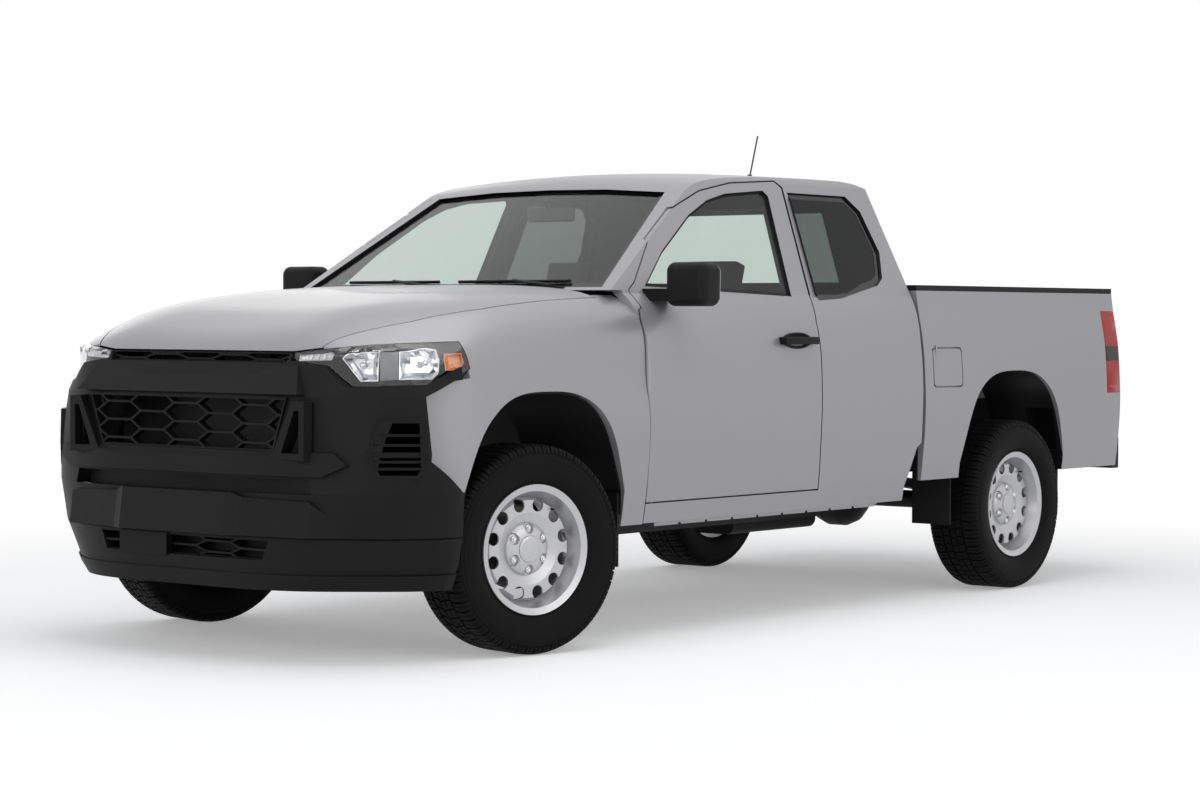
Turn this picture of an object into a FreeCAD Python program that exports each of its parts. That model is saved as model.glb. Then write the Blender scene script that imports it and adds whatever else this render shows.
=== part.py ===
"""Extended-cab pickup truck with a six-foot bed, built as separate panels on a ladder frame.

Millimetres. +X is the vehicle's left side, -Y its nose, +Z up. Modelling runs in a frame
whose zero is the front axle's centre on the ground, and each piece is moved along Y when it
is written, so that the zero of the finished part lies half way along the truck.
"""
import FreeCAD, Part
import math
import os

# Overall sizes
WHEELBASE = 3337.0
TRACK = 1690.0
HALF_WIDTH = 965.0
FRONT_OVERHANG = 940.0
REAR_OVERHANG = 1148.0
ROOF_HEIGHT = 1836.0
BELT_HEIGHT = 1312.0
BELT_SPLIT_DROP = 30.0
RAIL_HEIGHT = 1776.0
SILL_HEIGHT = 440.0
OVERRUN = 60.0
SEAT_GAP = 0.3
SHUT_GAP = 6.0
PIN_CLEARANCE = 0.05

# Wheels and tyres, 255/65R17 on a 17 x 8 inch rim
TYRE_RADIUS = 381.0
TYRE_WIDTH = 255.0
TREAD_HALF = 98.0
TYRE_SHOULDER = 14.0
SIDEWALL_BULGE_RADIUS = 300.0
BEAD_RADIUS = 219.0
BEAD_HALF = 100.0
RIM_FLANGE_RADIUS = 236.0
RIM_HALF = 108.0
RIM_WALL = 7.0
DROP_CENTRE_RADIUS = 196.0
WHEEL_HOLES = 12
WHEEL_HOLE_RADIUS = 24.0
WHEEL_HOLE_CIRCLE = 163.0
HUB_FACE = 62.0
# Flat land round the wheel holes, inwards and outwards, as shares of a hole's radius
LAND_IN_SHARE = 1.3
LAND_OUT_SHARE = 0.6
DISC_EDGE_FACE = 22.0
DISC_THICKNESS = 8.0
HUB_CAP_RADIUS = 48.0
HUB_CAP_HEIGHT = 26.0
SPINDLE_RADIUS = 30.0

# Steering
KINGPIN_INSET = 70.0
REST_STEER = -12.4
KNUCKLE_POST_RADIUS = 24.0
KNUCKLE_HALF_HEIGHT = 104.0
KINGPIN_RADIUS = 10.0
KINGPIN_DEPTH = 24.0
BRAKE_DISC_RADIUS = 150.0
BRAKE_DISC_THICKNESS = 26.0
BRAKE_DISC_FACE = 20.0

# Cab
FIREWALL = 470.0
CAB_REAR = 2535.0
CAB_REAR_CUT = 115.0
CAB_REAR_CUT_HEIGHT = 140.0
BELT_HALF_FRONT = 825.0
BELT_HALF_REAR = 900.0
TUMBLEHOME_SLOPE = 0.40
LOWER_WALL = 108.0
UPPER_WALL = 46.0
DOOR_SKIN = 34.0
FRAME_SKIN = 20.0
REBATE = 22.0
COWL_HEIGHT = 1288.0
WINDSHIELD_BASE = 480.0
WINDSHIELD_BASE_HEIGHT = 1322.0
WINDSHIELD_SLOPE = 0.605
WINDSHIELD_BOW = 92.0
ROOF_CROWN = 25.0
ROOF_CROWN_HALF = 600.0
HEAD_HEIGHT = 1750.0
HEAD_DROP = 24.0
ROOF_END = 78.0
FLOOR_TOP = 560.0
FLOOR_THICKNESS = 50.0
ROCKER_WIDTH = 130.0
GLASS_THICKNESS = 5.0
GLASS_DEPTH = 12.0
WINDSHIELD_SHARES = [(0.800, 0.0), (0.624, 0.945), (0.31, 0.99), (0.0, 1.0)]
WINDSHIELD_TOP = 1742.0
REAR_WINDOW_HALF = 570.0
REAR_WINDOW_BOTTOM = 1350.0
REAR_WINDOW_TOP = 1700.0
REAR_WINDOW_LEAN = 70.0

# Side outline of the lower body: share of half width, share of height from sill to belt
LOWER_SIDE_SHARES = [(0.966, 0.0), (0.980, 0.10), (0.993, 0.30), (1.0, 0.50), (0.995, 0.665), (0.982, 0.80)]
# Shoulder under the glass: share of the step from belt to skin, share of height
SHOULDER_SHARES = [(0.72, 0.893), (0.35, 0.957)]
# Roof line from windshield to rear glass: share of roof length, share of roof rise
ROOF_LINE_SHARES = [(0.05, 0.34), (0.15, 0.66), (0.34, 0.88), (0.60, 0.98), (0.80, 1.0), (0.93, 0.93),
                    (1.0, 0.70)]
# Roof corner over the door: shares of the rise from rail to roof, taken inwards and upwards
ROOF_CORNER_SHARES = [(0.30, 0.36), (0.85, 0.72)]

# Doors
DOOR_FRONT = 612.0
DOOR_LENGTH = 1150.0
DOOR_BOTTOM = 520.0
DOOR_HEIGHT = 1263.0
HINGE_HALF_WIDTH = 935.0
HINGE_NOSE_RADIUS = 45.0
DOOR_PIN_RADIUS = 5.0
DOOR_PIN_HEIGHT = 40.0
# Outline as shares of door length and height, from the lower front corner
DOOR_SHARES = [(-0.08, 0.0), (-0.08, 0.566), (0.078, 0.658), (0.234, 0.80), (0.40, 0.892), (0.588, 0.954),
               (0.776, 0.985), (1.04, 1.0), (1.072, 0.98), (1.028, 0.62), (1.003, 0.54), (1.0, 0.35),
               (1.0, 0.0)]
DOOR_WINDOW_SHARES = [(0.125, 0.648), (0.274, 0.758), (0.483, 0.876), (0.61, 0.926), (0.727, 0.951),
                      (0.955, 0.968), (0.978, 0.95), (0.924, 0.622)]
QUARTER_WINDOW_SHARES = [(1.100, 0.966), (1.456, 0.964), (1.522, 0.914), (1.56, 0.776), (1.522, 0.687),
                         (1.473, 0.661), (1.228, 0.618), (1.076, 0.610), (1.068, 0.63)]

# Front end: height of the hood and fender tops as shares of the hood's top height, by station
HOOD_TOP_HEIGHT = 1345.0
HOOD_THICKNESS = 32.0
FENDER_THICKNESS = 30.0
FENDER_REAR = 606.0
HOOD_REAR = 424.0
HOOD_AXIS_PLACE = 490.0
HOOD_AXIS_HEIGHT = 1300.0
HOOD_EAR_PLACE = 700.0
HOOD_EAR_THICKNESS = 12.0
HOOD_EAR_LENGTH = 66.0
HOOD_EYE_RADIUS = 14.0
HOOD_PIN_RADIUS = 6.0
HOOD_LUG_THICKNESS = 18.0
HOOD_LUG_DEPTH = 50.0
HOOD_REAR_BOW = 92.0
STATION_SHARES = [-0.852, -0.80, -0.73, -0.60, -0.43, -0.20, 0.10, 0.40, 0.66]
TOP_SPAN_SHARES = [0.0, 0.31, 0.52, 0.66, 0.79, 0.885, 0.948]
TOP_HEIGHT_SHARES = [
    [0.790, 0.790, 0.787, 0.783, 0.777, 0.770, 0.762],
    [0.838, 0.840, 0.836, 0.820, 0.796, 0.780, 0.766],
    [0.868, 0.872, 0.870, 0.850, 0.818, 0.794, 0.772],
    [0.905, 0.909, 0.908, 0.890, 0.855, 0.815, 0.780],
    [0.938, 0.941, 0.940, 0.926, 0.900, 0.856, 0.806],
    [0.965, 0.967, 0.964, 0.954, 0.936, 0.896, 0.842],
    [0.985, 0.986, 0.983, 0.974, 0.958, 0.922, 0.872],
    [0.997, 0.997, 0.993, 0.985, 0.968, 0.936, 0.890],
    [1.000, 1.000, 0.997, 0.989, 0.972, 0.940, 0.896]]
NOSE_SIDE_SHARES = [(0.980, 0.735), (0.995, 0.66), (1.0, 0.60), (0.994, 0.50), (0.980, 0.39), (0.966, 0.325)]
# Plan of the nose at lamp height: shares of half width and of front overhang
NOSE_PLAN_SHARES = [(0.0, 0.852), (0.31, 0.850), (0.50, 0.841), (0.64, 0.822), (0.725, 0.782), (0.82, 0.70),
                    (0.90, 0.585), (0.958, 0.48), (0.990, 0.35), (1.0, 0.20)]
HOOD_PLAN_SHARES = [(0.0, 0.86), (0.56, 0.86), (0.69, 0.63), (0.755, 0.50), (0.80, 0.33), (0.822, 0.18),
                    (0.826, 0.0), (0.822, -0.48)]

# Front fascia: levels, and plan points as shares of half width and front overhang
FASCIA_LEVELS = [262.0, 300.0, 365.0, 450.0, 606.0, 745.0, 940.0, 1000.0, 1088.0]
FASCIA_WALL = 28.0
FASCIA_PLAN_SHARES = [
    [(0.0, 0.935), (0.41, 0.922), (0.60, 0.845), (0.700, 0.765), (0.80, 0.68), (0.875, 0.60), (0.925, 0.515)],
    [(0.0, 0.942), (0.41, 0.930), (0.62, 0.855), (0.720, 0.780), (0.825, 0.69), (0.905, 0.60), (0.943, 0.510)],
    [(0.0, 0.946), (0.41, 0.933), (0.64, 0.860), (0.755, 0.780), (0.86, 0.69), (0.935, 0.59), (0.967, 0.500)],
    [(0.0, 0.946), (0.41, 0.935), (0.66, 0.868), (0.795, 0.790), (0.905, 0.69), (0.966, 0.59), (0.984, 0.490)],
    [(0.0, 0.940), (0.43, 0.930), (0.66, 0.885), (0.820, 0.800), (0.92, 0.71), (0.975, 0.62), (0.994, 0.470)],
    [(0.0, 0.923), (0.46, 0.916), (0.66, 0.868), (0.820, 0.800), (0.92, 0.71), (0.977, 0.63), (0.998, 0.470)],
    [(0.0, 0.918), (0.50, 0.905), (0.67, 0.860), (0.790, 0.790), (0.90, 0.68), (0.965, 0.59), (0.990, 0.470)],
    [(0.0, 0.895), (0.50, 0.885), (0.67, 0.845), (0.750, 0.790), (0.88, 0.66), (0.955, 0.55), (0.985, 0.460)],
    [(0.0, 0.855), (0.50, 0.845), (0.66, 0.820), (0.740, 0.770), (0.87, 0.64), (0.950, 0.53), (0.980, 0.450)]]
FASCIA_REAR = 440.0
# Side outline of the fender, as shares of front overhang and lamp line height
FENDER_ZONE_SHARES = [(0.75, 1.40), (-0.80, 1.40), (-0.80, 1.03), (-0.42, 1.03), (-0.42, 0.945),
                      (-0.503, 0.937),
                      (-0.624, 0.886), (-0.63, 0.676), (-0.475, 0.57), (-0.30, 0.57), (-0.30, 0.35),
                      (0.75, 0.35)]
LAMP_FRONT_SHARES = [(0.488, 1.028), (0.488, 1.002), (0.645, 0.985), (0.725, 0.918), (0.93, 0.926), (0.99, 1.0),
                     (0.99, 1.072), (0.76, 1.056)]
LAMP_LINE_HEIGHT = 1062.0
LAMP_REAR = 385.0
LAMP_DEPTH = 110.0
TRIM_GAP = 0.8
GRILLE_BOTTOM = 747.0
GRILLE_TOP = 937.0
GRILLE_HALF_BOTTOM = 441.0
GRILLE_HALF_TOP = 505.0
GRILLE_PLATE = 30.0
GRILLE_FACE = 862.0
GRILLE_ROWS = 3
GRILLE_COLUMNS = 3
GRILLE_PITCH = 175.0
GRILLE_ROW_HEIGHT = 66.0
GRILLE_FLAT = 120.0
GRILLE_RIB = 8.0
# Bar below the grille, in plan and from the front: shares of its half width with overhang or height
BAR_BOTTOM = 452.0
BAR_TOP = 607.0
BAR_HALF = 732.0
BAR_LEAN = 20.0
LIP_TOP = 318.0
LIP_STAND = 6.0
BAR_PLAN_SHARES = [(1.0, 0.80), (0.84, 0.925), (0.44, 0.975), (0.365, 1.0)]
BAR_FRONT_SHARES = [(0.95, 0.0), (1.0, 0.10), (0.83, 0.80), (0.44, 0.86), (0.365, 1.0)]
# Slot under the hood, its plain bar, slot over the lower bar, and the low opening: half widths and heights
UPPER_SLOT_HALF_TOP = 462.0
UPPER_SLOT_HALF_BOTTOM = 452.0
UPPER_SLOT_TOP = 1092.0
UPPER_SLOT_BOTTOM = 1057.0
UPPER_SLOT_FACE = 790.0
UPPER_SLOT_ROW = 32.0
LOW_SLOT_ROW = 40.0
BROW_HALF_TOP = 515.0
BROW_HALF_BOTTOM = 566.0
BROW_TOP = 1046.0
BROW_BOTTOM = 948.0
BROW_STAND = 12.0
BROW_LEAN = 58.0
BROW_DEPTH = 45.0
MIDDLE_SLOT_TOP = 655.0
MIDDLE_SLOT_HALF_TOP = 596.0
MIDDLE_SLOT_HALF_BOTTOM = 608.0
LOW_SLOT_TOP = 437.0
LOW_SLOT_BOTTOM = 367.0
LOW_SLOT_HALF = 431.0
LOW_SLOT_TAPER = 30.0
LOW_PAD_FROM = -308.0
LOW_PAD_TO = -62.0
LOW_SLOT_FACE = 884.0
# Tall rings beside the grille: outside and slot outlines as (x, z)
RING_OUTSIDE = [(548.0, 927.0), (603.0, 924.0), (603.0, 718.0), (446.0, 728.0)]
RING_SLOT = [(556.0, 893.0), (578.0, 893.0), (578.0, 744.0), (492.0, 744.0)]
RING_STAND = 14.0
# Pockets at the corners: outline along the cover and up, about their middle
POCKET_PLACE = [864.0, -686.0]
POCKET_TURN = 44.5
POCKET_OUTLINE = [(-106.0, 742.0), (-62.0, 866.0), (92.0, 866.0), (98.0, 690.0), (78.0, 657.0), (-66.0, 657.0)]
POCKET_RIM = 14.0
POCKET_STAND = 3.0
POCKET_SLAT_LEVELS = [694.0, 718.0, 742.0, 776.0, 810.0]
POCKET_SLAT_DEPTH = 24.0
POCKET_SLAT_HEIGHT = 9.0
CHIN_BOTTOM = 664.0
CHIN_FOLD = 708.0
CHIN_TOP = 747.0
CHIN_STAND = 16.0
CHIN_FRONT = [(650.0, 664.0), (735.0, 704.0), (690.0, 747.0)]
SEAM_HEIGHT = 446.0
SEAM_WIDTH = 5.0
SEAM_DEPTH = 7.0
BEAM_HALF = 600.0
BEAM_DEPTH = 80.0
BEAM_BOTTOM = 480.0
BEAM_TOP = 690.0
RADIATOR_HALF = 590.0
RADIATOR_TOP = 1035.0
RADIATOR_DEPTH = 50.0

# Bed
BED_GAP = 22.0
BED_LENGTH = 1735.0
BED_RAIL_HEIGHT = 1338.0
CAP_HEIGHT = 24.0
BED_FLOOR_TOP = 850.0
BED_FLOOR_THICKNESS = 45.0
BED_INNER_HALF = 775.0
BED_SKIN = 34.0
HEADBOARD = 45.0
WHEELHOUSE_INNER = 575.0
WHEELHOUSE_WALL = 14.0
WHEELHOUSE_BOTTOM = 620.0
BED_SKIRT = 520.0
BED_SIDE_SHARES = [(0.964, 0.0), (0.978, 0.12), (0.993, 0.28), (1.0, 0.44), (0.995, 0.60), (0.983, 0.75),
                   (0.958, 0.90), (0.945, 1.0)]
TAILGATE_THICKNESS = 52.0
TAILGATE_HALF = 735.0
TAILGATE_BOTTOM = 800.0
TAILGATE_PIN_RADIUS = 9.0
TAILGATE_PIN_LENGTH = 60.0
GATE_RECESS_HALF = 210.0
GATE_RECESS_TOP = 1290.0
GATE_RECESS_BOTTOM = 1180.0
GATE_RECESS_DEPTH = 14.0
GATE_HANDLE_HALF = 110.0
GATE_HANDLE_HEIGHT = 44.0
LAMP_BOTTOM = 868.0
LAMP_TOP = 1256.0
TAIL_LAMP_LENGTH = 130.0
FLAP_FRONT = 2630.0
FLAP_LENGTH = 230.0
FLAP_BOTTOM = 925.0
FLAP_HEIGHT = 162.0
FLAP_THICKNESS = 14.0
FLAP_PIN_RADIUS = 3.0
FLAP_HINGE_SETBACK = 24.0
FLAP_CORNER_SHARE = 0.12

# Wheel arches: shares of half length and height above the hub, from the arch's centre
FRONT_ARCH_CENTRE = 24.0
FRONT_ARCH_HALF = 450.0
FRONT_ARCH_TOP = 950.0
REAR_ARCH_CENTRE = -17.0
REAR_ARCH_HALF = 456.0
REAR_ARCH_TOP = 985.0
ARCH_FOOT = 300.0
ARCH_SHARES = [(-1.0, 0.42), (-0.90, 0.62), (-0.70, 0.86), (-0.40, 0.975), (0.0, 1.0), (0.40, 0.975),
               (0.70, 0.86), (0.90, 0.62), (1.0, 0.42)]
LINER_THICKNESS = 8.0
LINER_INNER = 500.0
LINER_BOTTOM = 480.0

# Frame and running gear
RAIL_OUTER = 430.0
RAIL_WIDTH = 62.0
RAIL_DEPTH = 130.0
FRAME_BOTTOM = 345.0
FRAME_FRONT_RISE = 90.0
FRAME_REAR_RISE = 165.0
FRAME_FRONT = -700.0
FRAME_REAR = 4330.0
CROSS_DIAMETER = 90.0
CROSS_PLACE_SHARES = [0.02, 0.33, 0.52, 0.68, 0.90]
MOUNT_PLACE_SHARES = [0.26, 0.46, 0.60]
BED_MOUNT_PLACE_SHARES = [0.68, 0.95]
ENGINE_LENGTH = 620.0
ENGINE_WIDTH = 480.0
ENGINE_HEIGHT = 520.0
ENGINE_FRONT = -330.0
ENGINE_BOTTOM = 520.0
ARM_THICKNESS = 26.0
ARM_ROOT_HALF = 170.0
ARM_TIP_HALF = 34.0
AXLE_TUBE_RADIUS = 40.0
DIFF_RADIUS = 140.0
# Half outline of the differential: shares of its radius, along the axle and outwards
DIFF_SHARES = [(0.28, 1.0), (0.62, 0.86), (0.88, 0.60), (1.0, 0.42)]
DRUM_RADIUS = 150.0
DRUM_WIDTH = 60.0
SPRING_HALF_WIDTH = 515.0
SPRING_WIDTH = 64.0
SPRING_THICKNESS = 30.0
SPRING_FRONT = 640.0
SPRING_REAR = 700.0
SPRING_DROP = 90.0
SHAFT_RADIUS = 38.0
SHAFT_FRONT_HEIGHT = 440.0
SHAFT_ROOM = 12.0
TANK_INNER = 152.0
TANK_OVERHANG = 60.0
TANK_BOTTOM = 290.0
TANK_ROUNDING = 40.0
TANK_FRONT = 1975.0
MUFFLER_RADIUS = 78.0
MUFFLER_LENGTH = 560.0
MUFFLER_PLACE = 215.0
MUFFLER_FRONT = 1990.0
MUFFLER_HEIGHT = 366.0
PIPE_RADIUS = 26.0
PIPE_HEIGHT = 316.0
PIPE_TOP = 620.0
HITCH_SQUARE = 50.8
HITCH_WALL = 6.4
HITCH_LENGTH = 230.0
HITCH_STAND = 64.0

# Cabin
DASH_BOTTOM = 800.0
DASH_DEPTH = 390.0
DASH_HEIGHT = 470.0
# Side outline of the dashboard: shares of its depth and height, from its lower front corner
DASH_SHARES = [(0.0, 0.0), (0.77, 0.26), (1.0, 0.66), (0.92, 0.91), (0.46, 1.0), (0.0, 1.0)]
SEAT_PLACE = 385.0
SEAT_WIDTH = 520.0
SEAT_FRONT = 1120.0
SEAT_HEIGHT = 860.0
SEAT_LENGTH = 720.0
REAR_SEAT_FRONT = 1990.0
REAR_SEAT_LENGTH = 480.0
REAR_SEAT_HALF = 640.0
HEADREST_WIDTH = 260.0
SEAT_SHARES = [(0.0, 0.0), (0.62, 0.0), (0.70, 0.10), (1.0, 0.86), (0.90, 0.88), (0.78, 0.80), (0.62, 0.36),
               (0.05, 0.38), (0.0, 0.30)]
HEADREST_SHARES = [(0.885, 0.878), (0.995, 0.858), (1.04, 1.02), (0.96, 1.05)]
REAR_SEAT_SHARES = [(0.0, 0.0), (0.95, 0.0), (0.95, 0.80), (0.75, 0.82), (0.58, 0.36), (0.0, 0.40)]
STEERING_PLACE = 1010.0
STEERING_HEIGHT = 1120.0
STEERING_LEAN = 25.0
STEERING_RADIUS = 175.0
STEERING_GRIP = 16.0
STEERING_COLUMN = 150.0
STEERING_HUB = 48.0
STEERING_SPOKE = 30.0
GRIP_SIDES = 8
GLANCE_WIDTH = 240.0
GLANCE_HEIGHT = 62.0
GLANCE_DEPTH = 28.0
GLANCE_PLACE = 1178.0
GLANCE_MIDDLE = 1640.0
GLANCE_STALK_RADIUS = 9.0
GLANCE_STALK_LENGTH = 120.0

# Outside fittings
MIRROR_INNER = 930.0
MIRROR_OUTER = 1122.0
MIRROR_BOTTOM = 1262.0
MIRROR_HEIGHT = 168.0
MIRROR_FRONT = 735.0
MIRROR_DEPTH = 125.0
MIRROR_FOOT_LENGTH = 110.0
HANDLE_HEIGHT = 1127.0
HANDLE_FRONT = 1480.0
HANDLE_LENGTH = 235.0
HANDLE_THICKNESS = 30.0
HANDLE_STAND = 38.0
STEP_BAR_HALF = 880.0
STEP_TOP = 735.0
STEP_BOTTOM = 500.0
STEP_FRONT = 4320.0
# Side outline of the rear bumper: shares of its depth and height, from its lower front corner
STEP_SHARES = [(0.0, 0.25), (0.0, 0.90), (0.42, 1.0), (0.80, 1.0), (1.0, 0.90), (0.93, 0.55), (1.0, 0.22),
               (0.94, 0.0),
               (0.34, 0.0)]
STEP_END_TAPER = 50.0
STEP_NOTCH_WIDTH = 210.0
STEP_NOTCH_DEPTH = 66.0
STEP_NOTCH_HEIGHT = 150.0
MUD_FLAP_THICKNESS = 10.0
MUD_FLAP_HALF_WIDTH = 130.0
FRONT_FLAP_OUTER = 930.0
FRONT_FLAP_TOP = 560.0
FRONT_FLAP_BOTTOM = 285.0
REAR_FLAP_BOTTOM = 310.0
REAR_FLAP_TOP = 610.0
ANTENNA_PLACE = 265.0
ANTENNA_FOOT = 2225.0
ANTENNA_LENGTH = 190.0
ANTENNA_LEAN = 18.0
ANTENNA_RADIUS = 3.5

LENGTH = FRONT_OVERHANG + WHEELBASE + REAR_OVERHANG
MIDDLE = LENGTH / 2 - FRONT_OVERHANG


def vec(x, y, z):
    return FreeCAD.Vector(x, y, z)


def save(name, shape):
    """Move a finished piece to the part's own zero and write it."""
    moved = shape.copy()
    moved.translate(vec(0, -MIDDLE, 0))
    moved.exportStep("parts/" + name + ".step")


def block(x0, x1, y0, y1, z0, z1):
    return Part.makeBox(x1 - x0, y1 - y0, z1 - z0, vec(x0, y0, z0))


def both_sides(shape):
    """The shape and its mirror image across the centre plane, as separate solids."""
    return Part.makeCompound([shape, mirrored(shape)])


def mirrored(shape):
    return shape.mirror(vec(0, 0, 0), vec(1, 0, 0))


def face_of(points, smooth=False):
    """A flat face inside the closed outline through the points."""
    if smooth:
        curve = Part.BSplineCurve()
        curve.interpolate(points)
        edges = [curve.toShape(), Part.makeLine(points[-1], points[0])]
        return Part.Face(Part.Wire(edges))
    return Part.Face(Part.makePolygon(points + [points[0]]))


def prism_x(outline, x0, x1, smooth=False):
    """Side outline of (y, z) points pushed along X."""
    face = face_of([vec(x0, y, z) for y, z in outline], smooth)
    return face.extrude(vec(x1 - x0, 0, 0))


def prism_y(outline, y0, y1, smooth=False):
    """Front outline of (x, z) points pushed along Y."""
    face = face_of([vec(x, y0, z) for x, z in outline], smooth)
    return face.extrude(vec(0, y1 - y0, 0))


def prism_z(outline, z0, z1, smooth=False):
    """Plan outline of (x, y) points pushed along Z."""
    face = face_of([vec(x, y, z0) for x, y in outline], smooth)
    return face.extrude(vec(0, 0, z1 - z0))


def spread(shares, start, span):
    """Outline points from shares of a length and a height."""
    return [(start[0] + share[0] * span[0], start[1] + share[1] * span[1]) for share in shares]


def grown(outline, distance):
    """The closed outline moved outwards by a distance, or inwards where it is negative."""
    wire = Part.makePolygon([vec(a, b, 0) for a, b in outline + [outline[0]]])
    moved = wire.makeOffset2D(distance, 2, False, False)
    return [(p.Point.x, p.Point.y) for p in moved.OrderedVertexes]


def solid_of(shape):
    """The shape as one cleaned solid or compound of solids."""
    cleaned = shape.removeSplitter()
    solids = cleaned.Solids
    return solids[0] if len(solids) == 1 else Part.makeCompound(solids)


def spline_edge(points):
    curve = Part.BSplineCurve()
    curve.interpolate(points)
    return curve.toShape()


# Cab volume

def belt_half(y):
    """Half width of the cab at the belt, which grows towards the rear."""
    share = (y - FIREWALL) / (CAB_REAR - FIREWALL)
    return BELT_HALF_FRONT + (BELT_HALF_REAR - BELT_HALF_FRONT) * share


def lower_side_points(y, inset):
    """(x, z) points up the left side of the lower body, from sill to belt."""
    rise = BELT_HEIGHT - SILL_HEIGHT
    points = [(a * HALF_WIDTH - inset, SILL_HEIGHT + b * rise) for a, b in LOWER_SIDE_SHARES]
    belt = belt_half(y)
    step = LOWER_SIDE_SHARES[-1][0] * HALF_WIDTH - belt
    for a, b in SHOULDER_SHARES:
        points.append((belt + a * step - inset, SILL_HEIGHT + b * rise))
    points.append((belt - inset, BELT_HEIGHT))
    return points


def cab_section(y, inset):
    """Closed front section of the cab at one station."""
    side = [vec(x, y, z) for x, z in lower_side_points(y, inset)]
    rail_x = belt_half(y) - TUMBLEHOME_SLOPE * (RAIL_HEIGHT - BELT_HEIGHT) - inset
    rail = vec(rail_x, y, RAIL_HEIGHT)
    lift = ROOF_HEIGHT - RAIL_HEIGHT
    corner = [vec(rail_x - a * lift, y, RAIL_HEIGHT + b * lift) for a, b in ROOF_CORNER_SHARES]
    crown = vec(0, y, ROOF_HEIGHT + lift)
    flip = [vec(-p.x, p.y, p.z) for p in reversed([rail] + corner)]
    edges = [spline_edge(side), Part.makeLine(side[-1], rail),
             spline_edge([rail] + corner + [crown] + flip)]
    other = [vec(-p.x, p.y, p.z) for p in reversed(side)]
    edges += [Part.makeLine(flip[-1], other[0]), spline_edge(other), Part.makeLine(other[-1], side[0])]
    return Part.Wire(edges)


def windshield_foot(x):
    return WINDSHIELD_BASE + WINDSHIELD_BOW * (x / HALF_WIDTH) ** 2


def cab_profile(x, inset):
    """Closed side outline of the cab at one distance from the centre plane."""
    foot = windshield_foot(x) + inset * math.sqrt(1 + 1 / WINDSHIELD_SLOPE ** 2)
    crown_drop = (x / ROOF_CROWN_HALF) ** 2
    roof = ROOF_HEIGHT - ROOF_CROWN * crown_drop - inset
    head_z = HEAD_HEIGHT - HEAD_DROP * crown_drop - inset / 2
    head = foot + (head_z - WINDSHIELD_BASE_HEIGHT) / WINDSHIELD_SLOPE
    back = CAB_REAR - inset
    length = back - ROOF_END - head
    roof_points = [vec(x, head, head_z)]
    for a, b in ROOF_LINE_SHARES:
        roof_points.append(vec(x, head + a * length, head_z + b * (roof - head_z)))
    low = vec(x, FIREWALL + inset, SILL_HEIGHT)
    cowl = vec(x, FIREWALL + inset, COWL_HEIGHT)
    base = vec(x, foot, WINDSHIELD_BASE_HEIGHT)
    belt = vec(x, back, BELT_HEIGHT)
    low_back = vec(x, back, SILL_HEIGHT)
    edges = [Part.makeLine(low, cowl), Part.makeLine(cowl, base), Part.makeLine(base, roof_points[0]),
             spline_edge(roof_points), Part.makeLine(roof_points[-1], belt), Part.makeLine(belt, low_back),
             Part.makeLine(low_back, low)]
    return Part.Wire(edges)


def cab_volume(side_inset, end_inset):
    """Solid cab shape drawn in from the skin by a side and an end inset."""
    sections = [cab_section(y, side_inset) for y in (FIREWALL - OVERRUN, CAB_REAR + OVERRUN)]
    body = Part.makeLoft(sections, True, True)
    stations = [HALF_WIDTH * s for s in (-1.02, -0.5, 0.0, 0.5, 1.02)]
    profiles = [cab_profile(x, end_inset) for x in stations]
    return body.common(Part.makeLoft(profiles, True, False))


def door_outline(offset=0.0):
    outline = spread(DOOR_SHARES, (DOOR_FRONT, DOOR_BOTTOM), (DOOR_LENGTH, DOOR_HEIGHT))
    return grown(outline, offset) if offset else outline


def window_outline(shares, offset=0.0):
    outline = spread(shares, (DOOR_FRONT, DOOR_BOTTOM), (DOOR_LENGTH, DOOR_HEIGHT))
    return grown(outline, offset) if offset else outline


def hinge_axis_y():
    return DOOR_FRONT + HINGE_NOSE_RADIUS


def nose_region(radius, back):
    """Space that a door's leading edge may fill: a drum round the hinge axis, and all behind it."""
    axis_y = hinge_axis_y()
    drum = Part.makeCylinder(radius, ROOF_HEIGHT, vec(HINGE_HALF_WIDTH, axis_y, 0))
    rest = block(0, HALF_WIDTH + OVERRUN, axis_y - back, CAB_REAR, 0, ROOF_HEIGHT + OVERRUN)
    return drum.fuse(rest)


def side_cut(outline):
    """Prism through the left side only."""
    return prism_x(outline, HALF_WIDTH * 0.4, HALF_WIDTH + OVERRUN)


def belt_split(lower, upper):
    """Lower volume below the belt and upper volume above it."""
    wide = HALF_WIDTH + OVERRUN
    split = BELT_HEIGHT - BELT_SPLIT_DROP
    low = block(-wide, wide, -FRONT_OVERHANG, CAB_REAR + OVERRUN, 0, split)
    high = block(-wide, wide, -FRONT_OVERHANG, CAB_REAR + OVERRUN, split, ROOF_HEIGHT * 2)
    return lower.common(low).fuse(upper.common(high))


# Front volume

def nose_section(station, heights, inset):
    """Closed front section through hood and fenders at one station."""
    y = station * FRONT_OVERHANG
    side = [vec(a * HALF_WIDTH - inset, y, b * HOOD_TOP_HEIGHT) for a, b in reversed(NOSE_SIDE_SHARES)]
    span = reversed(list(zip(TOP_SPAN_SHARES, heights)))
    top = [vec(a * (HALF_WIDTH - inset), y, b * HOOD_TOP_HEIGHT - inset) for a, b in span]
    half = side + top
    flip = [vec(-p.x, p.y, p.z) for p in reversed(half[:-1])]
    points = half + flip
    return Part.Wire([spline_edge(points), Part.makeLine(points[-1], points[0])])


def nose_plan(inset):
    """Plan outline of the nose at lamp height, drawn in from the skin."""
    half = [(a * HALF_WIDTH, -b * FRONT_OVERHANG) for a, b in NOSE_PLAN_SHARES]
    half = [(x * (HALF_WIDTH - inset) / HALF_WIDTH, y + inset) for x, y in half]
    half.append((HALF_WIDTH - inset, FENDER_REAR + OVERRUN))
    other = [(-x, y) for x, y in reversed(half[1:])]
    return other + half


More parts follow.
